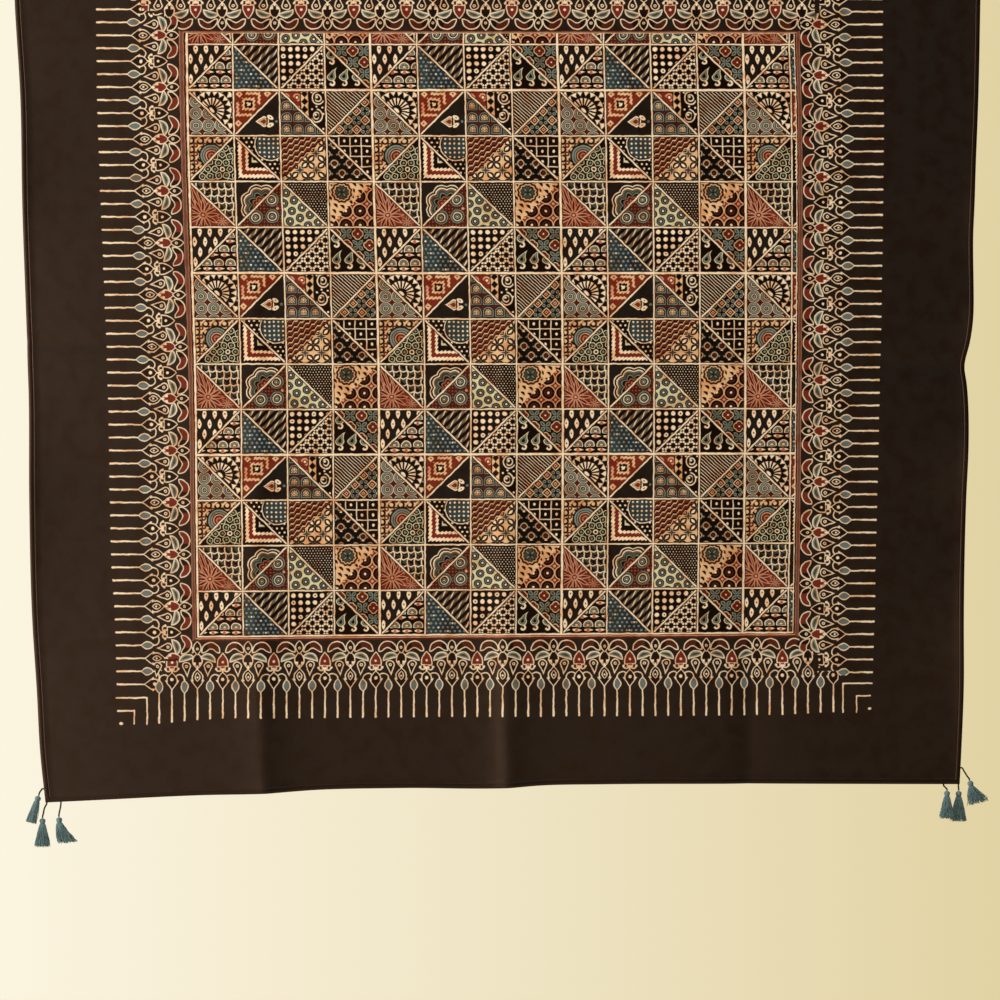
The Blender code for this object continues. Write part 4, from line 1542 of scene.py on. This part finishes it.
    def face_prints(self) -> dict:
        """For each square of the grid: material numbers, diagonals and print coordinates.

        Returns:
            Arrays by name, rows by columns, with the four corners of a square in the order upper
            left, upper right, lower right, lower left.
        """
        shape = (len(self.row_kind) - 1, len(self.column_kind) - 1)
        column_kind = np.broadcast_to(strip_kind(self.column_kind)[None, :], shape)
        row_kind = np.broadcast_to(strip_kind(self.row_kind)[:, None], shape)
        lay = self.layout
        columns = np.where(self.column_kind[:-1] == Strip.CELLS, self.column_share[:-1], 0.0)
        columns = np.where(strip_kind(self.column_kind) == Strip.FAR_PART, lay.columns, columns)
        rows = np.where(self.row_kind[:-1] == Strip.CELLS, self.row_share[:-1], -1.0)
        cell_column = np.broadcast_to(np.floor(columns + 1e-6).astype(int)[None, :], shape)
        cell_row = np.broadcast_to(np.floor(rows + 1e-6).astype(int)[:, None], shape)
        in_cells = np.isin(column_kind, (Strip.CELLS, Strip.FAR_PART))
        in_cells = in_cells & np.isin(row_kind, (Strip.NEAR_PART, Strip.CELLS))
        block_column = cell_column % CELLS_EACH_WAY
        block_row = (cell_row + FIRST_ROW) % CELLS_EACH_WAY
        falls = np.array([[cell.falls for cell in row] for row in CELLS])[block_row, block_column]
        patch = FIRST_PATCH_NUMBER + 2 * (block_row * CELLS_EACH_WAY + block_column)
        across, down = self.cell_place(cell_column, cell_row)
        across, down = across.mean(axis=-1), down.mean(axis=-1)
        above = np.where(falls, across - down, 1 - across - down)
        in_border_column = np.isin(column_kind, BORDERS)
        in_border_row = np.isin(row_kind, BORDERS)
        corner = np.where(column_kind == Strip.NEAR_BORDER, LEFT_CORNER_NUMBER, RIGHT_CORNER_NUMBER)
        plain = np.where(in_border_column & in_border_row, corner,
                         np.where(in_border_column, BORDER_NUMBER,
                                  np.where(in_border_row, LEVEL_BORDER_NUMBER, FRAME_NUMBER)))
        upper = np.where(in_cells, np.where(above > -self.near_line, patch, patch + 1), plain)
        lower = np.where(in_cells, np.where(above > self.near_line, patch, patch + 1), plain)
        return {"upper": upper, "lower": lower, "falls": falls | ~in_cells, "in_cells": in_cells,
                "cell_column": cell_column, "cell_row": cell_row,
                "side_border": in_border_column & ~in_border_row, "border": in_border_column | in_border_row}

    def corner_values(self, values: np.ndarray) -> np.ndarray:
        """The values at the four corners of each square, in the order of face_prints."""
        return np.stack((values[:-1, :-1], values[:-1, 1:], values[1:, 1:], values[1:, :-1]), axis=-1)

    def cell_place(self, cell_column: np.ndarray, cell_row: np.ndarray) -> tuple:
        """Cell coordinates at the four corners of each square of the cells.

        Args:
            cell_column: Each square's cell, counted across.
            cell_row: Each square's cell, counted down.

        Returns:
            Across and down, each rows by columns by four.
        """
        lay = self.layout
        wide = (lay.column_x[3][0] - lay.column_x[0][0]) / lay.columns
        high = (lay.row_left[2] - lay.row_left[0]) / lay.rows
        past_last = lay.columns + self.column_share * lay.part_column / wide
        before_first = (self.row_share - 1) * lay.part_row / high
        number = np.where(self.column_kind == Strip.CELLS, self.column_share, 0.0)
        number = np.where(self.column_kind == Strip.FAR_PART, past_last, number)
        level = np.where(self.row_kind == Strip.CELLS, self.row_share, 0.0)
        level = np.where(self.row_kind == Strip.NEAR_PART, before_first, level)
        size = (len(self.row_kind), len(self.column_kind))
        across = self.corner_values(np.broadcast_to(number[None, :], size)) - cell_column[..., None]
        down = self.corner_values(np.broadcast_to(level[:, None], size)) - cell_row[..., None]
        return across, down

    def frame_place(self) -> tuple:
        """Shares outwards over the frame, at the four corners of each square."""
        across = frame_share(self.column_kind, self.column_share)
        down = frame_share(self.row_kind, self.row_share)
        size = (len(self.row_kind), len(self.column_kind))
        return (self.corner_values(np.broadcast_to(across[None, :], size)),
                self.corner_values(np.broadcast_to(down[:, None], size)))

    def rim(self, front: np.ndarray, back: np.ndarray) -> tuple:
        """The rounded rim: one line of points round the cloth, joined to its front and its back.

        Args:
            front: The front's points, rows by columns.
            back: The back's points, likewise.

        Returns:
            The rim's points, and its triangles, which number the front's points first, then the
            back's, then the rim's.
        """
        rows, columns = self.x.shape
        count = rows * columns
        index = np.arange(count).reshape(rows, columns)
        ring = np.concatenate((index[0, :], index[1:, -1], index[-1, -2::-1], index[-2:0:-1, 0]))
        after = np.roll(ring, -1)
        middle = (front.reshape(-1, 3)[ring] + back.reshape(-1, 3)[ring]) / 2
        at_side = np.isin(ring % columns, (0, columns - 1))
        at_hem = (ring // columns == rows - 1) & (ring // columns != 0)
        sideways = np.sign(middle[:, 0]) * at_side
        outward = np.stack((sideways, np.zeros(len(ring)), np.where(at_hem, -1.0, 0.0)), axis=-1)
        own = np.arange(len(ring)) + 2 * count
        own_after = np.roll(own, -1)
        strip = ((ring, after, own_after), (ring, own_after, own),
                 (own, own_after, after + count), (own, after + count, ring + count))
        faces = np.concatenate([np.stack(part, axis=-1) for part in strip])
        return middle + outward * self.cloth.rim_bulge, faces

    def to_object(self, name: str, materials: list) -> bpy.types.Object:
        """Put the points, faces, materials and print coordinates into one mesh.

        Args:
            name: The object's name.
            materials: In the order of the material numbers.

        Returns:
            The object.
        """
        front, back, inset = self.sides()
        rows, columns = self.x.shape
        count = rows * columns
        faces = self.face_prints()
        index = np.arange(count).reshape(rows, columns)
        quad = self.corner_values(index)
        cell_u, cell_v = self.cell_place(faces["cell_column"], faces["cell_row"])
        frame_u, frame_v = self.frame_place()
        side_s, side_t, level_s, level_t = (self.corner_values(v) for v in self.print_place())
        in_cells = faces["in_cells"][..., None]
        side_only = faces["side_border"][..., None]
        border = faces["border"][..., None]
        print_u = np.where(in_cells, cell_u, np.where(border, np.where(side_only, side_s, level_s), frame_u))
        print_v = np.where(in_cells, cell_v, np.where(border, np.where(side_only, side_t, level_t), frame_v))
        flat_u, flat_v = self.corner_values(self.x), self.corner_values(-self.drop)
        # A falling square is cut from upper left to lower right, a rising one the other way.
        falling_upper, falling_lower = (0, 1, 2), (0, 2, 3)
        rising_upper, rising_lower = (0, 1, 3), (1, 2, 3)
        picks = []
        falls = faces["falls"]
        cuts = ((falling_upper, falling_lower, falls), (rising_upper, rising_lower, ~falls))
        for upper, lower, mask in cuts:
            picks += [(upper, mask, faces["upper"]), (lower, mask, faces["lower"])]
        corners, numbers, uvs = [], [], [[], [], []]
        for order, mask, number in picks:
            corners.append(quad[mask][:, order])
            numbers.append(number[mask])
            for layer, (u, v) in enumerate(((print_u, print_v), (side_s, side_t), (flat_u, flat_v))):
                uvs[layer].append(np.stack((u[mask][:, order], v[mask][:, order]), axis=-1))
        corners = np.concatenate(corners)
        numbers = np.concatenate(numbers)
        uvs = [np.concatenate(layer) for layer in uvs]
        # Seen from the front a triangle listed upper left, upper right, lower runs clockwise.
        front_faces = corners[:, ::-1]
        front_uvs = [layer[:, ::-1] for layer in uvs]
        back_faces = corners + count
        rim_points, rim_faces = self.rim(front, back)
        rim_uv = np.zeros((len(rim_faces), 3, 2))
        rim_uv[..., 1] = 90.0
        points = np.concatenate((front.reshape(-1, 3), back.reshape(-1, 3), rim_points))
        triangles = np.concatenate((front_faces, back_faces, rim_faces))
        slot = np.concatenate((numbers, numbers, np.full(len(rim_faces), BORDER_NUMBER)))
        layers = [np.concatenate((f, b, rim_uv)) for f, b in zip(front_uvs, uvs)]
        mesh = bpy.data.meshes.new(name)
        mesh.vertices.add(len(points))
        mesh.vertices.foreach_set("co", points.astype(np.float32).ravel())
        mesh.loops.add(triangles.size)
        mesh.loops.foreach_set("vertex_index", triangles.astype(np.int32).ravel())
        mesh.polygons.add(len(triangles))
        mesh.polygons.foreach_set("loop_start", np.arange(0, triangles.size, 3, dtype=np.int32))
        mesh.polygons.foreach_set("material_index", slot.astype(np.int32))
        for layer_name, layer in zip(("print", "print_side", "flat"), layers):
            mesh.uv_layers.new(name=layer_name).data.foreach_set("uv", layer.astype(np.float32).ravel())
        wrong = np.concatenate((np.zeros(count), np.ones(count), np.full(len(rim_points), 0.5)))
        mesh.attributes.new("wrong_side", "FLOAT", "POINT").data.foreach_set("value", wrong.astype(np.float32))
        edge = np.concatenate((inset.ravel(), inset.ravel(), np.zeros(len(rim_points))))
        mesh.attributes.new("from_edge", "FLOAT", "POINT").data.foreach_set("value", edge.astype(np.float32))
        lay = self.layout
        block_unit = np.where(slot == FRAME_NUMBER, lay.frame_width, lay.unit)
        scale = 1 / np.where(slot >= FIRST_PATCH_NUMBER, lay.cell_width, block_unit)
        mesh.attributes.new("block_scale", "FLOAT", "FACE").data.foreach_set("value", scale.astype(np.float32))
        for material in materials:
            mesh.materials.append(material)
        mesh.update(calc_edges=True)
        mesh.validate()
        mesh.shade_smooth()
        thing = bpy.data.objects.new(name, mesh)
        bpy.context.scene.collection.objects.link(thing)
        return thing


class Leave(Enum):
    """Where a tassel's cord leaves the cloth."""

    SIDE = "side"
    HEM = "hem"
    FRONT = "front"


def tube(path: np.ndarray, radii: np.ndarray, sides: int, twist: float, lobes: int, depth: float) -> tuple:
    """A round section carried along a path, with lobes that turn as twisted plies do.

    The radius at an angle is the path's radius times 1 plus depth times the cosine of the lobes
    times (angle less the twist times the distance run).

    Args:
        path: Points along the middle.
        radii: The radius at each point.
        sides: Points round the section.
        twist: Turns a metre, in radians.
        lobes: How many plies show.
        depth: How far the plies stand out, as a share of the radius.

    Returns:
        Points and four-sided faces, closed at both ends by a fan of triangles.
    """
    along = np.gradient(path, axis=0)
    along /= np.linalg.norm(along, axis=1, keepdims=True)
    helper = np.where(np.abs(along[:, 1:2]) < 0.9, np.array([[0.0, 1.0, 0.0]]), np.array([[1.0, 0.0, 0.0]]))
    one = np.cross(along, helper)
    one /= np.linalg.norm(one, axis=1, keepdims=True)
    two = np.cross(along, one)
    run = np.concatenate(([0.0], np.cumsum(np.linalg.norm(np.diff(path, axis=0), axis=1))))
    angle = np.linspace(0, TURN, sides, endpoint=False)[None, :]
    swell = 1 + depth * np.cos(lobes * (angle - twist * run[:, None]))
    ring = (np.cos(angle) * swell * radii[:, None])[..., None] * one[:, None, :]
    ring = ring + (np.sin(angle) * swell * radii[:, None])[..., None] * two[:, None, :]
    points = np.concatenate(((path[:, None, :] + ring).reshape(-1, 3), path[:1], path[-1:]))
    count = len(path)
    index = np.arange(count * sides).reshape(count, sides)
    after = np.roll(index, -1, axis=1)
    quads = np.stack((index[:-1], after[:-1], after[1:], index[1:]), axis=-1).reshape(-1, 4)
    start, end = count * sides, count * sides + 1
    first = np.stack((after[0], index[0], np.full(sides, start), np.full(sides, start)), axis=-1)
    last = np.stack((index[-1], after[-1], np.full(sides, end), np.full(sides, end)), axis=-1)
    return points, np.concatenate((quads, first, last))


def mesh_object(name: str, points: np.ndarray, faces: np.ndarray,
                material: bpy.types.Material) -> bpy.types.Object:
    """Put points and faces into an object.

    Args:
        name: The object's name.
        points: Its points.
        faces: Four corners a face; a triangle repeats its last one.
        material: Its material.

    Returns:
        The object.
    """
    triangles = faces[:, 2] == faces[:, 3]
    sizes = np.where(triangles, 3, 4)
    starts = np.concatenate(([0], np.cumsum(sizes)[:-1]))
    keep = np.ones(faces.shape, dtype=bool)
    keep[triangles, 3] = False
    mesh = bpy.data.meshes.new(name)
    mesh.vertices.add(len(points))
    mesh.vertices.foreach_set("co", points.astype(np.float32).ravel())
    mesh.loops.add(int(sizes.sum()))
    mesh.loops.foreach_set("vertex_index", faces[keep].astype(np.int32))
    mesh.polygons.add(len(faces))
    mesh.polygons.foreach_set("loop_start", starts.astype(np.int32))
    mesh.materials.append(material)
    mesh.update(calc_edges=True)
    mesh.validate()
    mesh.shade_smooth()
    thing = bpy.data.objects.new(name, mesh)
    bpy.context.scene.collection.objects.link(thing)
    return thing


@dataclass(frozen=True)
class ThreadFinish:
    """Cut or twisted cotton thread: matt and fuzzy, lighter where single threads catch the light."""

    name: str
    dark: str
    light: str
    roughness: float
    sheen: float

    def material(self) -> bpy.types.Material:
        """Make the material: two tones that change from thread to thread and along it. The darker is the dye; the
        lighter is partly the dye's own unevenness and partly a painted highlight where single threads catch the
        light.

        Returns:
            The material.
        """
        material = bpy.data.materials.new(self.name)
        material.use_nodes = True
        tree = material.node_tree
        tree.nodes.clear()
        place = add_node(tree, "ShaderNodeTexCoord", {}, {}).outputs["Object"]
        stretched = add_node(tree, "ShaderNodeMapping", {}, {"Vector": place, "Scale": (1600.0, 1600.0, 110.0)})
        strand = Field(tree, add_node(tree, "ShaderNodeTexNoise", {}, {
            "Vector": stretched.outputs[0], "Scale": 1.0, "Detail": 2.0}).outputs[0])
        # Partly painted highlight: a noise, not the lamps, decides where the lighter tone marks threads that catch
        # the light.
        mix = add_node(tree, "ShaderNodeMix", {"data_type": "RGBA"}, {
            "Factor": strand.above(0.5, 0.35).socket, 6: linear(self.dark), 7: linear(self.light)})
        bump = add_node(tree, "ShaderNodeBump", {}, {"Height": strand.socket, "Distance": 0.0002, "Strength": 0.8})
        shader = add_node(tree, "ShaderNodeBsdfPrincipled", {}, {
            "Base Color": mix.outputs[2], "Roughness": self.roughness, "Sheen Weight": self.sheen,
            "Specular IOR Level": 0.25, "Normal": bump.outputs[0]})
        add_node(tree, "ShaderNodeOutputMaterial", {}, {"Surface": shader.outputs[0]})
        return material


@dataclass
class Tassel:
    """One tassel on its cord, with the sizes of its solids. Out is away from the cloth's middle."""

    corner: Corner
    place: str
    leave: Leave
    from_corner: float
    route: tuple
    lean: float
    length: float
    half_width: float
    half_depth: float
    sway: float
    unruly: float = 1.0
    gap: float = 0.0003
    straight: float = 0.0011
    cord_radius: float = 0.0009
    head_length: float = 0.0066
    root_radius: float = 0.0029
    bell: float = 0.85
    sway_bend: float = 1.5
    threads: int = 150
    thread_radius: float = 0.00030

    @property
    def side(self) -> int:
        """-1 at the left corners and +1 at the right ones."""
        return self.corner.value[0]

    @property
    def label(self) -> str:
        """The corner and place, as the nodes are named."""
        return f"{self.corner.name.lower()}_{self.place}"

    def root(self, shape: ClothShape) -> np.ndarray:
        """Where the cord leaves the cloth, clear of the hem by the gap.

        Args:
            shape: The cloth's shape.

        Returns:
            The point.
        """
        edge_u = 0.0 if self.side < 0 else 1.0
        width = float(shape.side_x(1.0, 0.0)) - float(shape.side_x(0.0, 0.0))
        u = edge_u - self.side * self.from_corner / width
        if self.leave is Leave.HEM:
            drop = float(shape.hem_drop(u))
            return np.array((float(shape.side_x(u, drop)), -float(shape.forward(u, drop)), -drop - self.gap))
        if self.leave is Leave.FRONT:
            drop = 2 * self.cord_radius
            ahead = float(shape.forward(u, drop)) + shape.half_hem + self.gap
            return np.array((float(shape.side_x(u, drop)), -ahead, -drop))
        drop = self.from_corner
        if self.corner.value[1] > 0:
            drop = float(shape.hem_drop(edge_u)) - self.from_corner
        x = float(shape.side_x(edge_u, drop)) + self.side * self.gap
        return np.array((x, -float(shape.forward(edge_u, drop)), -drop))

    def hang(self) -> np.ndarray:
        """Unit direction from the crown to the skirt."""
        lean = math.radians(self.lean)
        return np.array((self.side * math.sin(lean), 0.0, -math.cos(lean)))

    def cord_path(self, shape: ClothShape) -> np.ndarray:
        """The cord's route as a smooth line of points through the route's own points.

        Args:
            shape: The cloth's shape.

        Returns:
            The points.
        """
        leave = {Leave.SIDE: (self.side, 0, 0), Leave.HEM: (0, 0, -1), Leave.FRONT: (0, -1, 0)}[self.leave]
        points = [np.zeros(3), self.straight * np.array(leave, dtype=float)]
        points += [np.array((self.side * out, -ahead, -down)) for out, ahead, down in self.route]
        points.append(points[-1] + self.straight * self.hang())
        points = self.root(shape) + np.array(points)
        run = np.concatenate(([0.0], np.cumsum(np.linalg.norm(np.diff(points, axis=0), axis=1))))
        fine = np.linspace(0, run[-1], 30)
        return np.stack([smooth_line(fine, run, points[:, axis]) for axis in range(3)], axis=-1)

    def make_cord(self, shape: ClothShape, material: bpy.types.Material) -> bpy.types.Object:
        """Make the short twisted cord.

        Args:
            shape: The cloth's shape.
            material: The cord's thread.

        Returns:
            The object.
        """
        path = self.cord_path(shape)
        radii = np.full(len(path), self.cord_radius * 0.92)
        points, faces = tube(path, radii, 12, 1500.0, 2, 0.16)
        return mesh_object(f"cord_twisted_{self.label}", points, faces, material)

    def head_parts(self) -> list:
        """The wound head: a turned profile whose radius ripples down it as the winding does."""
        drops = np.linspace(0, self.head_length, 34)
        profile = np.interp(drops, (0.0, 0.0004, 0.0012, 0.0024, 0.0040, 0.0050, 0.0058, 0.0066),
                            (0.0002, 0.0016, 0.0027, 0.0031, 0.0029, 0.0024, 0.0023, 0.0029))
        wound = (drops > 0.0040) & (drops < 0.0060)
        radii = profile + np.where(wound, 0.00022 * np.cos(TURN * drops / 0.0006), 0.0)
        path = np.stack((np.zeros(34), np.zeros(34), -drops), axis=-1)
        return [tube(path, radii, 20, 0.0, 10, 0.035)]

    def skirt_parts(self, draw: np.random.Generator) -> list:
        """The skirt: threads that leave the head side by side, spread as the solid does, and wander.

        A thread at angle g and share q of the radius lies, at a share b of the way down, at q times
        the width there, where the width grows from the root's to the hem's as b to the bell's power.

        Args:
            draw: The random draws.

        Returns:
            The threads' points and faces.
        """
        parts = []
        below = np.linspace(0, 1, 9)
        spread = below ** self.bell
        wide = self.root_radius + (self.half_width - self.root_radius) * spread
        deep = self.root_radius + (self.half_depth - self.root_radius) * spread
        skirt = self.length - self.head_length
        for number in range(self.threads):
            angle = number * 2.39996
            share = math.sqrt((number + 0.5) / self.threads) * 0.94
            cut = 1 - 0.10 * draw.random() * self.unruly
            curl = draw.normal(0, 0.00055 * self.unruly, 2)
            phase = draw.random(2) * TURN
            waves = 1.0 + draw.random(2) * 1.4
            wobble = np.sin(TURN * waves[None, :] * below[:, None] + phase[None, :]) - np.sin(phase)[None, :]
            wobble = wobble * curl[None, :] * below[:, None]
            x = math.cos(angle) * share * wide + wobble[:, 0] + self.side * self.sway * below ** self.sway_bend
            y = math.sin(angle) * share * deep + wobble[:, 1]
            z = -self.head_length + 0.0006 - (skirt * cut + 0.0006) * below
            path = np.stack((x, y, z), axis=-1)
            radii = np.full(9, self.thread_radius) * np.linspace(1.0, 0.8, 9)
            parts.append(tube(path, radii, 4, 0.0, 1, 0.0))
        return parts

    def make_tassel(self, shape: ClothShape, seed: int, material: bpy.types.Material) -> bpy.types.Object:
        """Make the tassel and hang it on its cord's end.

        Args:
            shape: The cloth's shape.
            seed: Of the random draws.
            material: The tassel's thread.

        Returns:
            The object.
        """
        parts = self.head_parts() + self.skirt_parts(np.random.default_rng(seed))
        offsets = np.cumsum([0] + [len(points) for points, _ in parts[:-1]])
        points = np.concatenate([points for points, _ in parts])
        faces = np.concatenate([faces + offset for offset, (_, faces) in zip(offsets, parts)])
        lean = self.side * math.radians(self.lean)
        turned = np.stack((points[:, 0] * math.cos(lean) - points[:, 2] * math.sin(lean), points[:, 1],
                           points[:, 0] * math.sin(lean) + points[:, 2] * math.cos(lean)), axis=-1)
        crown = self.cord_path(shape)[-1] + self.gap * self.hang()
        return mesh_object(f"tassel_threads_{self.label}", turned + crown, faces, material)


SIDE_LEFT_ROUTE = ((0.0032, 0.0018, 0.0021), (0.0042, 0.0032, 0.0040), (0.0046, 0.0040, 0.0058))
CORNER_LEFT_ROUTE = ((0.0012, 0.0003, 0.0034), (0.0026, 0.0008, 0.0068), (0.0034, 0.0010, 0.0112),
                     (0.0043, 0.0010, 0.0150))
HEM_LEFT_ROUTE = ((0.0003, 0.0004, 0.0044), (0.0010, 0.0009, 0.0086), (0.0018, 0.0011, 0.0124),
                  (0.0020, 0.0010, 0.0146))
SIDE_RIGHT_ROUTE = ((0.0034, 0.0026, 0.0034), (0.0058, 0.0060, 0.0078), (0.0080, 0.0088, 0.0115))
CORNER_RIGHT_ROUTE = ((0.0002, -0.0010, 0.0034), (0.0007, -0.0025, 0.0060))
HEM_RIGHT_ROUTE = ((0.0016, 0.0018, 0.0032), (0.0030, 0.0040, 0.0052))
SIDE_TOP_ROUTE = ((0.0044, 0, 0.0010), (0.0078, 0, 0.0036), (0.0098, 0, 0.0076), (0.0104, 0, 0.0114))
CORNER_TOP_ROUTE = ((0.0040, 0.0032, 0.0012), (0.0066, 0.0074, 0.0042), (0.0082, 0.0106, 0.0086),
                    (0.0086, 0.0118, 0.0130))
HEM_TOP_ROUTE = ((0.0004, 0.0044, 0.0012), (0.0008, 0.0074, 0.0042), (0.0010, 0.0086, 0.0086),
                 (0.0010, 0.0088, 0.0126))
TASSELS = (
    Tassel(Corner.BOTTOM_LEFT, "side", Leave.SIDE, 0.0140, SIDE_LEFT_ROUTE,
           16.0, 0.0290, 0.0060, 0.0048, 0.0, 0.7),
    Tassel(Corner.BOTTOM_LEFT, "corner", Leave.HEM, 0.0012, CORNER_LEFT_ROUTE,
           0.0, 0.0300, 0.0092, 0.0060, 0.0),
    Tassel(Corner.BOTTOM_LEFT, "hem", Leave.HEM, 0.0170, HEM_LEFT_ROUTE,
           -4.0, 0.0275, 0.0110, 0.0060, -0.0070, 1.3),
    Tassel(Corner.BOTTOM_RIGHT, "side", Leave.SIDE, 0.0168, SIDE_RIGHT_ROUTE,
           14.0, 0.0250, 0.0120, 0.0050, 0.0030, 1.7),
    Tassel(Corner.BOTTOM_RIGHT, "corner", Leave.HEM, 0.0010, CORNER_RIGHT_ROUTE,
           0.0, 0.0320, 0.0090, 0.0050, 0.0),
    Tassel(Corner.BOTTOM_RIGHT, "hem", Leave.HEM, 0.0175, HEM_RIGHT_ROUTE,
           0.0, 0.0290, 0.0084, 0.0060, 0.0),
    Tassel(Corner.TOP_LEFT, "side", Leave.SIDE, 0.0160, SIDE_TOP_ROUTE, 3.0, 0.0290, 0.0075, 0.0050, 0.0),
    Tassel(Corner.TOP_LEFT, "corner", Leave.SIDE, 0.0020, CORNER_TOP_ROUTE,
           0.0, 0.0300, 0.0080, 0.0050, 0.0),
    Tassel(Corner.TOP_LEFT, "hem", Leave.FRONT, 0.0170, HEM_TOP_ROUTE, 0.0, 0.0290, 0.0080, 0.0050, 0.0),
    Tassel(Corner.TOP_RIGHT, "side", Leave.SIDE, 0.0160, SIDE_TOP_ROUTE, 3.0, 0.0290, 0.0075, 0.0050, 0.0),
    Tassel(Corner.TOP_RIGHT, "corner", Leave.SIDE, 0.0020, CORNER_TOP_ROUTE,
           0.0, 0.0300, 0.0080, 0.0050, 0.0),
    Tassel(Corner.TOP_RIGHT, "hem", Leave.FRONT, 0.0170, HEM_TOP_ROUTE, 0.0, 0.0290, 0.0080, 0.0050, 0.0),
)


@dataclass(frozen=True)
class Studio:
    """The camera, the lights and the pale floor."""

    view_width: float = 1.0434
    distance: float = 3.0
    sensor: float = 36.0
    aim_x: float = 0.0021
    aim_z: float = -0.6740
    floor_z: float = -2.0
    floor_half: float = 3.5

    def camera(self) -> None:
        """Set the camera square on to the cloth."""
        data = bpy.data.cameras.new("camera")
        data.sensor_width = self.sensor
        data.lens = self.sensor * self.distance / self.view_width
        thing = bpy.data.objects.new("camera", data)
        thing.location = (self.aim_x, -self.distance, self.aim_z)
        thing.rotation_euler = (math.radians(90), 0, 0)
        bpy.context.scene.collection.objects.link(thing)
        bpy.context.scene.camera = thing

    def lamp(self, name: str, place: tuple, aim: tuple, size: float, power: float, colour: str,
             gloss: bool) -> None:
        """Set one soft square light.

        Args:
            name: Its name.
            place: Where it stands.
            aim: The point that it faces.
            size: Its side.
            power: In watts.
            colour: Its colour as sRGB hex.
            gloss: Whether it shows in gloss.
        """
        data = bpy.data.lights.new(name, "AREA")
        data.size = size
        data.energy = power
        data.color = linear(colour)[:3]
        thing = bpy.data.objects.new(name, data)
        thing.location = place
        gaze = np.array(aim) - np.array(place)
        gaze = gaze / np.linalg.norm(gaze)
        pitch = math.acos(-gaze[2])
        thing.rotation_euler = (pitch, 0, math.atan2(gaze[0], -gaze[1]) + math.pi)
        thing.visible_glossy = gloss
        bpy.context.scene.collection.objects.link(thing)

    def surroundings(self) -> None:
        """Set the pale floor and a pale cream world that is a little darker to the right: painted shade for light
        that falls off away from the left.
        """
        mesh = bpy.data.meshes.new("floor")
        half = self.floor_half
        corners = [(-half, -half, self.floor_z), (half, -half, self.floor_z), (half, half, self.floor_z),
                   (-half, half, self.floor_z)]
        mesh.from_pydata(corners, [], [(0, 1, 2, 3)])
        floor = bpy.data.objects.new("floor", mesh)
        plaster = bpy.data.materials.new("pale_floor_paint")
        plaster.use_nodes = True
        shader = plaster.node_tree.nodes["Principled BSDF"]
        shader.inputs["Base Color"].default_value = linear("#e9e2d2")
        shader.inputs["Roughness"].default_value = 0.8
        mesh.materials.append(plaster)
        bpy.context.scene.collection.objects.link(floor)
        world = bpy.data.worlds.new("pale_room")
        bpy.context.scene.world = world
        world.use_nodes = True
        tree = world.node_tree
        tree.nodes.clear()
        way = add_node(tree, "ShaderNodeTexCoord", {}, {}).outputs["Generated"]
        across = Field(tree, add_node(tree, "ShaderNodeSeparateXYZ", {}, {0: way}).outputs[0])
        share = across.math("MULTIPLY_ADD", 2.6, 0.5, clamp=True)
        # Painted shade: the world fades from pale cream at the left to darker straw at the right, as a wall does away
        # from a light at its left. The camera sees it in full, diffuse rays at a quarter.
        tint = add_node(tree, "ShaderNodeMix", {"data_type": "RGBA"},
                        {"Factor": share.socket, 6: linear("#fdf6e2"), 7: linear("#e0d09f")}).outputs[2]
        rays = add_node(tree, "ShaderNodeLightPath", {}, {})
        strength = Field(tree, rays.outputs["Is Camera Ray"]) + Field(tree, rays.outputs["Is Diffuse Ray"]) * 0.25
        sky = add_node(tree, "ShaderNodeBackground", {}, {"Color": tint, "Strength": strength.socket})
        add_node(tree, "ShaderNodeOutputWorld", {}, {"Surface": sky.outputs[0]})

    def build(self) -> None:
        """Set the view transform, the camera, a raking key from the left, a soft fill and the surroundings."""
        bpy.context.scene.view_settings.view_transform = "Standard"
        self.camera()
        self.lamp("key", (-2.9, -1.75, -0.3), (0.0, 0.0, -0.6), 1.0, 112.0, "#fff6ec", True)
        self.lamp("fill", (0.6, -2.2, 1.9), (0.0, 0.0, -0.6), 2.0, 66.0, "#fffaf4", False)
        self.surroundings()


def main() -> None:
    """Build the cloth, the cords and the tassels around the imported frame."""
    logging.basicConfig(level=logging.INFO, format="%(name)s: %(message)s")
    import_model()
    Studio().build()
    shape = ClothShape()
    cord_thread = ThreadFinish("twisted_dark_cotton_cord", "#120d0b", "#2a201b", 0.75, 0.1).material()
    tassel_thread = ThreadFinish("cut_teal_cotton_thread", "#3b555b", "#6f8f92", 0.7, 0.25).material()
    cloth = Cloth(shape, PrintLayout(), CottonFinish())
    sheet = cloth.build()
    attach(sheet, "root")
    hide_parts("cloth")
    LOG.info("cloth: %d faces", len(sheet.data.polygons))
    hung = []
    for seed, tassel in enumerate(TASSELS):
        cord = tassel.make_cord(shape, cord_thread)
        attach(cord, "root")
        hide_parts(f"tassel_cord_{tassel.label}")
        skirt = tassel.make_tassel(shape, seed, tassel_thread)
        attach(skirt, "root")
        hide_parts(f"tassel_{tassel.label}")
        hung += [cord, skirt]
        LOG.info("%s: %d faces", skirt.name, len(skirt.data.polygons))


if __name__ == "__main__":
    main()
